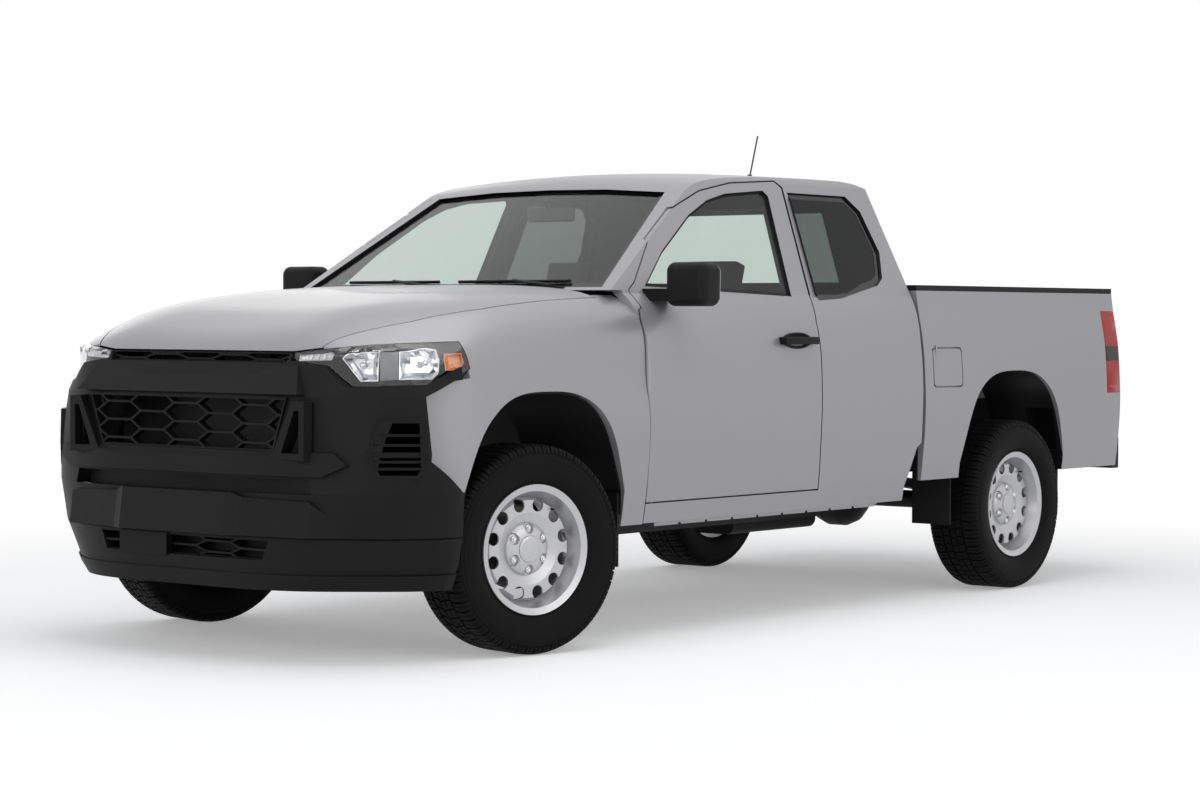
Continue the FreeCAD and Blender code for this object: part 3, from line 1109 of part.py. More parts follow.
def make_bed(pieces):
    front = bed_front()
    rear = bed_rear()
    wide = HALF_WIDTH + OVERRUN
    body = bed_volume(0, front, rear)
    body = body.cut(block(-BED_INNER_HALF, BED_INNER_HALF, front + HEADBOARD, rear + OVERRUN, BED_FLOOR_TOP,
                          ROOF_HEIGHT))
    under = BED_FLOOR_TOP - BED_FLOOR_THICKNESS
    inside = bed_volume(BED_SKIN, front - OVERRUN, rear + OVERRUN)
    body = body.cut(inside.common(block(-wide, wide, front - OVERRUN, rear + OVERRUN, 0, under)))
    body = body.cut(block(-wide, wide, front - OVERRUN, rear + OVERRUN, 0, BED_SKIRT))
    axle = WHEELBASE + REAR_ARCH_CENTRE
    house = block(WHEELHOUSE_INNER, BED_INNER_HALF + WHEELHOUSE_WALL, axle - REAR_ARCH_HALF - WHEELHOUSE_WALL,
                  axle + REAR_ARCH_HALF + WHEELHOUSE_WALL, WHEELHOUSE_BOTTOM, REAR_ARCH_TOP + WHEELHOUSE_WALL)
    body = body.fuse([house, mirrored(house)])
    well = rear_arch(0, WHEELHOUSE_INNER + WHEELHOUSE_WALL, wide)
    body = body.cut(well).cut(mirrored(well))
    gate_half = TAILGATE_HALF + SHUT_GAP
    gate_room = block(-gate_half, gate_half, rear - TAILGATE_THICKNESS - SHUT_GAP, rear + OVERRUN,
                      TAILGATE_BOTTOM - SHUT_GAP, ROOF_HEIGHT)
    body = body.cut(gate_room)
    lamp_space = tail_lamp_prism(0)
    body = body.cut(lamp_space).cut(mirrored(lamp_space))
    flap = flap_prism(0, 0)
    room = flap_prism(SHUT_GAP, FLAP_THICKNESS + SHUT_GAP)
    room = room.cut(bed_volume(FLAP_THICKNESS + SHUT_GAP, front, rear))
    flap_axis = (HALF_WIDTH - FLAP_THICKNESS / 2 - FLAP_PIN_RADIUS, FLAP_FRONT + FLAP_HINGE_SETBACK)
    swing = Part.makeCylinder(FLAP_HINGE_SETBACK + SHUT_GAP, FLAP_HEIGHT,
                              vec(flap_axis[0], flap_axis[1], FLAP_BOTTOM))
    body = body.cut([room, swing])
    gate_axis_y = rear - TAILGATE_THICKNESS / 2
    gate_axis_z = TAILGATE_BOTTOM + TAILGATE_THICKNESS / 2
    pins = []
    for side in (1, -1):
        start = side * (gate_half + TAILGATE_PIN_LENGTH / 2)
        pins.append(Part.makeCylinder(TAILGATE_PIN_RADIUS, TAILGATE_PIN_LENGTH,
                                      vec(start, gate_axis_y, gate_axis_z),
                                      vec(-side, 0, 0)))
    body = body.fuse(pins)
    flap_pin = Part.makeCylinder(FLAP_PIN_RADIUS, FLAP_HEIGHT * 1.2,
                                 vec(flap_axis[0], flap_axis[1], FLAP_BOTTOM - FLAP_HEIGHT * 0.1))
    flap_bore = Part.makeCylinder(FLAP_PIN_RADIUS + PIN_CLEARANCE, FLAP_HEIGHT * 1.2,
                                  vec(flap_axis[0], flap_axis[1], FLAP_BOTTOM - FLAP_HEIGHT * 0.1))
    body = body.fuse(flap_pin)
    pieces["bed"] = solid_of(body)
    lid = bed_volume(0, front, rear).cut(bed_volume(FLAP_THICKNESS, front, rear)).common(flap)
    pieces["fuel_flap"] = solid_of(lid.cut(flap_bore))

    gate = block(-TAILGATE_HALF, TAILGATE_HALF, rear - TAILGATE_THICKNESS, rear, TAILGATE_BOTTOM,
                 BED_RAIL_HEIGHT)
    bores = [Part.makeCylinder(TAILGATE_PIN_RADIUS + PIN_CLEARANCE, TAILGATE_PIN_LENGTH,
                               vec(side * (TAILGATE_HALF + SHUT_GAP), gate_axis_y, gate_axis_z),
                               vec(-side, 0, 0))
             for side in (1, -1)]
    rounding = Part.makeCylinder(TAILGATE_THICKNESS / 2, TAILGATE_HALF * 2,
                                 vec(-TAILGATE_HALF, gate_axis_y, gate_axis_z),
                                 vec(1, 0, 0))
    foot = block(-TAILGATE_HALF, TAILGATE_HALF, rear - TAILGATE_THICKNESS, rear, TAILGATE_BOTTOM, gate_axis_z)
    gate = gate.cut(foot).fuse(rounding).cut(bores)
    taper = GATE_RECESS_DEPTH * 2
    recess = prism_y([(-GATE_RECESS_HALF, GATE_RECESS_TOP), (GATE_RECESS_HALF, GATE_RECESS_TOP),
                      (GATE_RECESS_HALF - taper, GATE_RECESS_BOTTOM),
                      (taper - GATE_RECESS_HALF, GATE_RECESS_BOTTOM)],
                     rear - GATE_RECESS_DEPTH, rear)
    handle_top = GATE_RECESS_TOP - taper
    handle = block(-GATE_HANDLE_HALF, GATE_HANDLE_HALF, rear - TAILGATE_THICKNESS / 2, rear - SHUT_GAP / 2,
                   handle_top - GATE_HANDLE_HEIGHT, handle_top)
    gate = gate.cut(recess).fuse(handle)
    pieces["tailgate"] = solid_of(gate)

    lamp = bed_volume(-SEAT_GAP, front, rear).common(tail_lamp_prism(-SEAT_GAP))
    pieces["tail_lamps"] = both_sides(solid_of(lamp))

    cap_outer = bed_section_points(0)[-1][0] - SEAT_GAP
    side_cap = block(BED_INNER_HALF - CAP_HEIGHT / 2, cap_outer, front, rear, BED_RAIL_HEIGHT + SEAT_GAP,
                     BED_RAIL_HEIGHT + CAP_HEIGHT)
    front_cap = block(-BED_INNER_HALF, BED_INNER_HALF, front, front + HEADBOARD, BED_RAIL_HEIGHT + SEAT_GAP,
                      BED_RAIL_HEIGHT + CAP_HEIGHT)
    pieces["bed_rail_caps"] = solid_of(side_cap.fuse([mirrored(side_cap), front_cap]))


def flap_prism(offset, depth):
    """Space of the fuel flap on the left side of the bed."""
    y0 = FLAP_FRONT - offset
    y1 = FLAP_FRONT + FLAP_LENGTH + offset
    z0 = FLAP_BOTTOM - offset
    z1 = FLAP_BOTTOM + FLAP_HEIGHT + offset
    prism = block(HALF_WIDTH * 0.9, HALF_WIDTH + OVERRUN, y0, y1, z0, z1)
    radius = FLAP_HEIGHT * FLAP_CORNER_SHARE
    edges = [e for e in prism.Edges if abs(e.BoundBox.XLength) > OVERRUN]
    return prism.makeFillet(radius, edges)


# Wheels

def revolved(points):
    """Ring of (x, radius) points turned about the wheel's axis."""
    face = face_of([vec(x, 0, r) for x, r in points])
    return face.revolve(vec(0, 0, 0), vec(1, 0, 0), 360)


def tyre():
    half = TYRE_WIDTH / 2
    bulge = SIDEWALL_BULGE_RADIUS
    shoulder = TYRE_RADIUS - TYRE_SHOULDER
    outer = [(TREAD_HALF, TYRE_RADIUS), (half - TYRE_SHOULDER / 2, shoulder), (half, bulge),
             (BEAD_HALF, RIM_FLANGE_RADIUS), (BEAD_HALF, BEAD_RADIUS)]
    points = outer + [(-x, r) for x, r in reversed(outer)]
    return revolved(points)


def rim():
    flange = RIM_FLANGE_RADIUS
    bead = BEAD_RADIUS - SEAT_GAP
    wall = RIM_WALL
    deep = DROP_CENTRE_RADIUS
    outline = [(RIM_HALF, flange), (BEAD_HALF + SEAT_GAP, flange), (BEAD_HALF + SEAT_GAP, bead),
               (DISC_EDGE_FACE, deep),
               (-DISC_EDGE_FACE, deep), (-BEAD_HALF - SEAT_GAP, bead), (-BEAD_HALF - SEAT_GAP, flange),
               (-RIM_HALF, flange), (-BEAD_HALF, bead - wall), (-DISC_EDGE_FACE, deep - wall),
               (DISC_EDGE_FACE + wall, deep - wall), (BEAD_HALF, bead - wall)]
    barrel = revolved(outline)
    crown = HUB_FACE
    hub = HUB_FACE - DISC_THICKNESS * 2
    thick = DISC_THICKNESS
    land_in = WHEEL_HOLE_RADIUS * LAND_IN_SHARE
    land_out = WHEEL_HOLE_RADIUS * LAND_OUT_SHARE
    disc_outline = [(hub, SPINDLE_RADIUS + PIN_CLEARANCE), (hub, HUB_CAP_RADIUS * 1.9),
                    (crown, WHEEL_HOLE_CIRCLE - land_in), (crown, WHEEL_HOLE_CIRCLE + land_out),
                    (DISC_EDGE_FACE + thick, deep), (DISC_EDGE_FACE, deep - wall),
                    (crown - thick, WHEEL_HOLE_CIRCLE + land_out),
                    (crown - thick, WHEEL_HOLE_CIRCLE - land_in), (hub - thick, HUB_CAP_RADIUS * 2),
                    (hub - thick, SPINDLE_RADIUS + PIN_CLEARANCE)]
    disc = revolved(disc_outline)
    cutters = []
    for index in range(WHEEL_HOLES):
        angle = math.radians((index + 0.5) * 360.0 / WHEEL_HOLES)
        centre = vec(0, WHEEL_HOLE_CIRCLE * math.sin(angle), WHEEL_HOLE_CIRCLE * math.cos(angle))
        cutters.append(Part.makeCylinder(WHEEL_HOLE_RADIUS, RIM_HALF, centre, vec(1, 0, 0)))
    disc = disc.cut(cutters)
    cap = Part.makeCylinder(HUB_CAP_RADIUS, HUB_CAP_HEIGHT, vec(hub, 0, 0), vec(1, 0, 0))
    return solid_of(barrel.fuse(disc).fuse(cap))


def placed_wheel(shape, side, y, steer):
    """A wheel shape set on its axle, turned about its kingpin by the steering angle."""
    moved = shape.copy()
    if side < 0:
        moved = mirrored(moved)
    moved.translate(vec(side * TRACK / 2, y, TYRE_RADIUS))
    if steer:
        moved.rotate(vec(side * (TRACK / 2 - KINGPIN_INSET), y, 0), vec(0, 0, 1), steer)
    return moved


def knuckle():
    """Left front knuckle, in the wheel's own frame: x along the axle, zero at the wheel's centre."""
    pin_x = -KINGPIN_INSET
    post = Part.makeCylinder(KNUCKLE_POST_RADIUS, KNUCKLE_HALF_HEIGHT * 2, vec(pin_x, 0, -KNUCKLE_HALF_HEIGHT))
    spindle_end = HUB_FACE - DISC_THICKNESS * 2 - SEAT_GAP
    spindle = Part.makeCylinder(SPINDLE_RADIUS, spindle_end - pin_x, vec(pin_x, 0, 0), vec(1, 0, 0))
    disc_x = pin_x + KNUCKLE_POST_RADIUS + BRAKE_DISC_FACE / 2
    disc = Part.makeCylinder(BRAKE_DISC_RADIUS, BRAKE_DISC_THICKNESS, vec(disc_x, 0, 0), vec(1, 0, 0))
    body = post.fuse([spindle, disc])
    for end in (1, -1):
        z = end * (KNUCKLE_HALF_HEIGHT - KINGPIN_DEPTH) if end > 0 else -KNUCKLE_HALF_HEIGHT
        bore = Part.makeCylinder(KINGPIN_RADIUS + PIN_CLEARANCE, KINGPIN_DEPTH, vec(pin_x, 0, z))
        body = body.cut(bore)
    return solid_of(body)


def suspension_arm(top):
    """One front arm on the left, from the rail to the kingpin, with its pin."""
    pin_x = TRACK / 2 - KINGPIN_INSET
    end_z = TYRE_RADIUS + (KNUCKLE_HALF_HEIGHT if top else -KNUCKLE_HALF_HEIGHT)
    z0 = end_z + SEAT_GAP if top else end_z - SEAT_GAP - ARM_THICKNESS
    root = RAIL_OUTER - RAIL_WIDTH / 2
    outline = [(root, -ARM_ROOT_HALF), (pin_x, -ARM_TIP_HALF), (pin_x, ARM_TIP_HALF), (root, ARM_ROOT_HALF)]
    plate = prism_z(outline, z0, z0 + ARM_THICKNESS)
    eye = Part.makeCylinder(ARM_TIP_HALF, ARM_THICKNESS, vec(pin_x, 0, z0))
    reach = KINGPIN_DEPTH - SEAT_GAP * 2
    pin_z = z0 - reach if top else z0 + ARM_THICKNESS
    pin = Part.makeCylinder(KINGPIN_RADIUS, reach, vec(pin_x, 0, pin_z))
    window = [(root + ARM_ROOT_HALF * 0.3, -ARM_ROOT_HALF * 0.5),
              (pin_x - ARM_TIP_HALF * 3, -ARM_TIP_HALF * 0.4),
              (pin_x - ARM_TIP_HALF * 3, ARM_TIP_HALF * 0.4), (root + ARM_ROOT_HALF * 0.3, ARM_ROOT_HALF * 0.5)]
    hole = prism_z(window, z0 - OVERRUN, z0 + OVERRUN)
    return plate.fuse([eye, pin]).cut(hole)


# Frame and running gear

def rail_outline():
    length = FRAME_REAR - FRAME_FRONT
    axle = WHEELBASE
    low = FRAME_BOTTOM
    front = low + FRAME_FRONT_RISE
    rear = low + FRAME_REAR_RISE
    places = [(FRAME_FRONT, front), (FRAME_FRONT + length * 0.16, front), (FRAME_FRONT + length * 0.26, low),
              (axle - REAR_ARCH_HALF * 1.5, low), (axle - REAR_ARCH_HALF * 0.6, rear),
              (axle + REAR_ARCH_HALF * 0.6, rear),
              (axle + REAR_ARCH_HALF * 1.4, rear - FRAME_FRONT_RISE * 0.4),
              (FRAME_REAR, rear - FRAME_FRONT_RISE * 0.4)]
    upper = [(y, z + RAIL_DEPTH) for y, z in reversed(places)]
    return places + upper


def rail_height(y):
    """Height of the rail's lower edge at one place along the truck."""
    points = rail_outline()[:8]
    for (y0, z0), (y1, z1) in zip(points, points[1:]):
        if y0 <= y <= y1:
            return z0 + (z1 - z0) * (y - y0) / (y1 - y0)
    return points[-1][1]


def make_frame(pieces):
    inner = RAIL_OUTER - RAIL_WIDTH
    rail = prism_x(rail_outline(), inner, RAIL_OUTER)
    parts = [rail, mirrored(rail)]
    length = FRAME_REAR - FRAME_FRONT
    for share in CROSS_PLACE_SHARES:
        y = FRAME_FRONT + share * length
        z = rail_height(y) + CROSS_DIAMETER / 2
        parts.append(Part.makeCylinder(CROSS_DIAMETER / 2, 2 * inner + RAIL_WIDTH,
                                       vec(-inner - RAIL_WIDTH / 2, y, z),
                                       vec(1, 0, 0)))
    floor_z = FLOOR_TOP - FLOOR_THICKNESS - SEAT_GAP
    for share in MOUNT_PLACE_SHARES:
        y = FRAME_FRONT + share * length
        for side in (1, -1):
            parts.append(mount_post(side, y, floor_z))
    bed_z = BED_FLOOR_TOP - BED_FLOOR_THICKNESS - SEAT_GAP
    for share in BED_MOUNT_PLACE_SHARES:
        y = FRAME_FRONT + share * length
        for side in (1, -1):
            parts.append(mount_post(side, y, bed_z))
    outer = HITCH_SQUARE / 2 + HITCH_WALL
    rear_z = rail_height(FRAME_REAR) + RAIL_DEPTH / 2
    tube_end = FRAME_REAR + HITCH_STAND
    tube = block(-outer, outer, tube_end - HITCH_LENGTH, tube_end, rear_z - outer, rear_z + outer)
    half = HITCH_SQUARE / 2
    hollow = block(-half, half, tube_end - HITCH_LENGTH + HITCH_WALL, tube_end + OVERRUN, rear_z - half,
                   rear_z + half)
    beam = block(-inner - RAIL_WIDTH / 2, inner + RAIL_WIDTH / 2, FRAME_REAR - RAIL_WIDTH * 2,
                 FRAME_REAR - RAIL_WIDTH,
                 rear_z - RAIL_DEPTH / 2, rear_z + RAIL_DEPTH / 2)
    bumper_beam = block(-BEAM_HALF, BEAM_HALF, FRAME_FRONT - BEAM_DEPTH, FRAME_FRONT, BEAM_BOTTOM, BEAM_TOP)
    passage = shaft_cylinder(SHAFT_RADIUS + SHAFT_ROOM)
    shape = parts[0].fuse(parts[1:] + [beam, bumper_beam, tube]).cut([hollow, passage])
    pieces["chassis_frame"] = solid_of(shape)


def mount_post(side, y, top):
    x = side * (RAIL_OUTER - RAIL_WIDTH / 2)
    base = rail_height(y) + RAIL_DEPTH / 2
    return Part.makeCylinder(RAIL_WIDTH / 2, top - base, vec(x, y, base))


def shaft_cylinder(radius):
    """Straight cylinder along the driveshaft's line, from the engine to the rear axle."""
    start = vec(0, ENGINE_FRONT + ENGINE_LENGTH + SEAT_GAP, SHAFT_FRONT_HEIGHT)
    end = vec(0, WHEELBASE - DIFF_RADIUS + SEAT_GAP * 2, TYRE_RADIUS)
    along = end.sub(start)
    return Part.makeCylinder(radius, along.Length, start, along)


def pipe(start, end):
    """Straight exhaust pipe between two points."""
    along = end.sub(start)
    return Part.makeCylinder(PIPE_RADIUS, along.Length, start, along)


def exhaust():
    """Pipe down from the engine and back to the muffler, hung under the floor."""
    x = -MUFFLER_PLACE
    riser_y = ENGINE_FRONT + ENGINE_LENGTH + PIPE_RADIUS + SEAT_GAP
    muffler = Part.makeCylinder(MUFFLER_RADIUS, MUFFLER_LENGTH, vec(x, MUFFLER_FRONT, MUFFLER_HEIGHT),
                                vec(0, 1, 0))
    riser = pipe(vec(x, riser_y, PIPE_HEIGHT - PIPE_RADIUS), vec(x, riser_y, PIPE_TOP))
    ahead = pipe(vec(x, riser_y, PIPE_HEIGHT), vec(x, MUFFLER_FRONT + PIPE_RADIUS, PIPE_HEIGHT))
    hanger = block(x - PIPE_RADIUS, x + PIPE_RADIUS, MUFFLER_FRONT + PIPE_RADIUS,
                   MUFFLER_FRONT + PIPE_RADIUS * 2,
                   MUFFLER_HEIGHT, FLOOR_TOP - FLOOR_THICKNESS - SEAT_GAP)
    return muffler.fuse([riser, ahead, hanger])


def make_running_gear(pieces):
    arms = [suspension_arm(True), suspension_arm(False)]
    rail_solid = pieces["chassis_frame"]
    arms = [solid_of(arm.cut(rail_solid)) for arm in arms]
    cross = block(-RAIL_OUTER + RAIL_WIDTH + SEAT_GAP, RAIL_OUTER - RAIL_WIDTH - SEAT_GAP, -ARM_ROOT_HALF,
                  ARM_ROOT_HALF,
                  FRAME_BOTTOM, FRAME_BOTTOM + ARM_THICKNESS * 3)
    pieces["front_suspension"] = Part.makeCompound(arms + [mirrored(a) for a in arms] + [solid_of(cross)])
    engine = block(-ENGINE_WIDTH / 2, ENGINE_WIDTH / 2, ENGINE_FRONT, ENGINE_FRONT + ENGINE_LENGTH,
                   FRAME_BOTTOM + ARM_THICKNESS * 3 + SEAT_GAP, ENGINE_BOTTOM + ENGINE_HEIGHT)
    pieces["engine_block"] = engine

    seat_y = FRAME_FRONT + CROSS_PLACE_SHARES[0] * (FRAME_REAR - FRAME_FRONT)
    seat_z = rail_height(seat_y) + RAIL_DEPTH + SEAT_GAP
    pieces["radiator"] = block(-RADIATOR_HALF, RADIATOR_HALF, seat_y - RADIATOR_DEPTH / 2,
                               seat_y + RADIATOR_DEPTH / 2,
                               seat_z, RADIATOR_TOP)

    y = WHEELBASE
    z = TYRE_RADIUS
    drum_x = TRACK / 2 - DRUM_WIDTH
    tip = drum_x + DRUM_WIDTH + HUB_FACE - DISC_THICKNESS * 2 - SEAT_GAP
    half = spread(DIFF_SHARES, (0, 0), (DIFF_RADIUS, DIFF_RADIUS))
    half += [(DIFF_RADIUS, AXLE_TUBE_RADIUS), (drum_x, AXLE_TUBE_RADIUS), (drum_x, DRUM_RADIUS),
             (drum_x + DRUM_WIDTH, DRUM_RADIUS), (drum_x + DRUM_WIDTH, SPINDLE_RADIUS), (tip, SPINDLE_RADIUS),
             (tip, 0)]
    shape = revolved([(-x, r) for x, r in reversed(half)] + half)
    shape.translate(vec(0, y, z))
    pieces["rear_axle"] = solid_of(shape)

    top = z + AXLE_TUBE_RADIUS + SEAT_GAP
    x0 = SPRING_HALF_WIDTH - SPRING_WIDTH / 2
    outline = [(y - SPRING_FRONT, top + SPRING_DROP), (y - AXLE_TUBE_RADIUS, top), (y + AXLE_TUBE_RADIUS, top),
               (y + SPRING_REAR, top + SPRING_DROP), (y + SPRING_REAR, top + SPRING_DROP + SPRING_THICKNESS),
               (y + AXLE_TUBE_RADIUS, top + SPRING_THICKNESS * 1.6),
               (y - AXLE_TUBE_RADIUS, top + SPRING_THICKNESS * 1.6),
               (y - SPRING_FRONT, top + SPRING_DROP + SPRING_THICKNESS)]
    leaf = prism_x(outline, x0, x0 + SPRING_WIDTH)
    hangers = []
    for end_y in (y - SPRING_FRONT, y + SPRING_REAR):
        eye = Part.makeCylinder(SPRING_THICKNESS, SPRING_WIDTH + x0 - RAIL_OUTER - SEAT_GAP,
                                vec(RAIL_OUTER + SEAT_GAP, end_y, top + SPRING_DROP + SPRING_THICKNESS / 2),
                                vec(1, 0, 0))
        hangers.append(eye)
    pieces["leaf_springs"] = both_sides(solid_of(leaf.fuse(hangers)))

    pieces["driveshaft"] = solid_of(shaft_cylinder(SHAFT_RADIUS).cut(pieces["rear_axle"]))
    tank = block(TANK_INNER, RAIL_OUTER - RAIL_WIDTH - SEAT_GAP, TANK_FRONT, CAB_REAR + TANK_OVERHANG,
                 TANK_BOTTOM, FLOOR_TOP - FLOOR_THICKNESS - SEAT_GAP)
    long_edges = [e for e in tank.Edges if e.BoundBox.YLength > TANK_OVERHANG]
    pieces["fuel_tank"] = solid_of(tank.makeFillet(TANK_ROUNDING, long_edges))
    pieces["exhaust"] = solid_of(exhaust())


# Cabin

def make_cabin(pieces):
    wall = LOWER_WALL
    dash_half = belt_half(FIREWALL) - wall + DOOR_SKIN
    start = (FIREWALL + UPPER_WALL + SEAT_GAP, DASH_BOTTOM)
    dash = prism_x(spread(DASH_SHARES, start, (DASH_DEPTH, DASH_HEIGHT)), -dash_half, dash_half)
    inside = belt_split(cab_volume(wall + SHUT_GAP * 2, UPPER_WALL),
                        cab_volume(UPPER_WALL + SHUT_GAP * 2, UPPER_WALL))
    pieces["dashboard"] = solid_of(dash.common(inside))

    seats = []
    for x in (-1, 1):
        seats += front_seat(x * SEAT_PLACE)
    rear = prism_x(spread(REAR_SEAT_SHARES, (REAR_SEAT_FRONT, FLOOR_TOP + SEAT_GAP),
                          (REAR_SEAT_LENGTH, SEAT_HEIGHT)),
                   -REAR_SEAT_HALF, REAR_SEAT_HALF)
    seats.append(rear)
    pieces["seats"] = Part.makeCompound([solid_of(s) for s in seats])

    centre = vec(SEAT_PLACE, STEERING_PLACE, STEERING_HEIGHT)
    lean = math.radians(STEERING_LEAN)
    axis = vec(0, math.cos(lean), math.sin(lean))
    corners = [math.radians(360.0 / GRIP_SIDES * (index + 0.5)) for index in range(GRIP_SIDES)]
    ring = revolved([(STEERING_GRIP * math.cos(a),
                      STEERING_RADIUS + STEERING_GRIP * math.sin(a)) for a in corners])
    hub = block(-STEERING_GRIP, STEERING_GRIP, -STEERING_HUB, STEERING_HUB, -STEERING_HUB, STEERING_HUB)
    bar = block(-STEERING_SPOKE / 4, STEERING_SPOKE / 4, -STEERING_RADIUS, STEERING_RADIUS,
                -STEERING_SPOKE / 2, STEERING_SPOKE / 2)
    stem = block(-STEERING_SPOKE / 4, STEERING_SPOKE / 4, -STEERING_SPOKE / 2, STEERING_SPOKE / 2,
                 -STEERING_RADIUS, 0)
    wheel = ring.fuse([hub, bar, stem])
    wheel.rotate(vec(0, 0, 0), vec(0, 0, 1), 90)
    wheel.rotate(vec(0, 0, 0), vec(1, 0, 0), STEERING_LEAN)
    wheel.translate(centre)
    column_end = centre.sub(axis * (STEERING_GRIP + SEAT_GAP))
    pieces["steering_wheel"] = solid_of(wheel)
    glance = block(-GLANCE_WIDTH / 2, GLANCE_WIDTH / 2, GLANCE_PLACE, GLANCE_PLACE + GLANCE_DEPTH,
                   GLANCE_MIDDLE - GLANCE_HEIGHT / 2, GLANCE_MIDDLE + GLANCE_HEIGHT / 2)
    glance = glance.makeFillet(GLANCE_DEPTH * 0.35, glance.Edges)
    stalk = Part.makeCylinder(GLANCE_STALK_RADIUS, GLANCE_STALK_LENGTH,
                              vec(0, GLANCE_PLACE + GLANCE_DEPTH / 2, GLANCE_MIDDLE),
                              vec(0, -WINDSHIELD_SLOPE, 1))
    room = cab_volume(0, GLASS_DEPTH + GLASS_THICKNESS + SEAT_GAP)
    pieces["inside_mirror"] = solid_of(glance.fuse(stalk).common(room))
    column = Part.makeCylinder(STEERING_GRIP * 1.6, STEERING_COLUMN, column_end, axis.negative())
    pieces["dashboard"] = solid_of(pieces["dashboard"].fuse(column))


def front_seat(x):
    outline = spread(SEAT_SHARES, (SEAT_FRONT, FLOOR_TOP + SEAT_GAP), (SEAT_LENGTH, SEAT_HEIGHT))
    seat = prism_x(outline, x - SEAT_WIDTH / 2, x + SEAT_WIDTH / 2)
    rest = spread(HEADREST_SHARES, (SEAT_FRONT, FLOOR_TOP + SEAT_GAP), (SEAT_LENGTH, SEAT_HEIGHT))
    head = prism_x(rest, x - HEADREST_WIDTH / 2, x + HEADREST_WIDTH / 2)
    return [seat.fuse(head)]


# Outside fittings

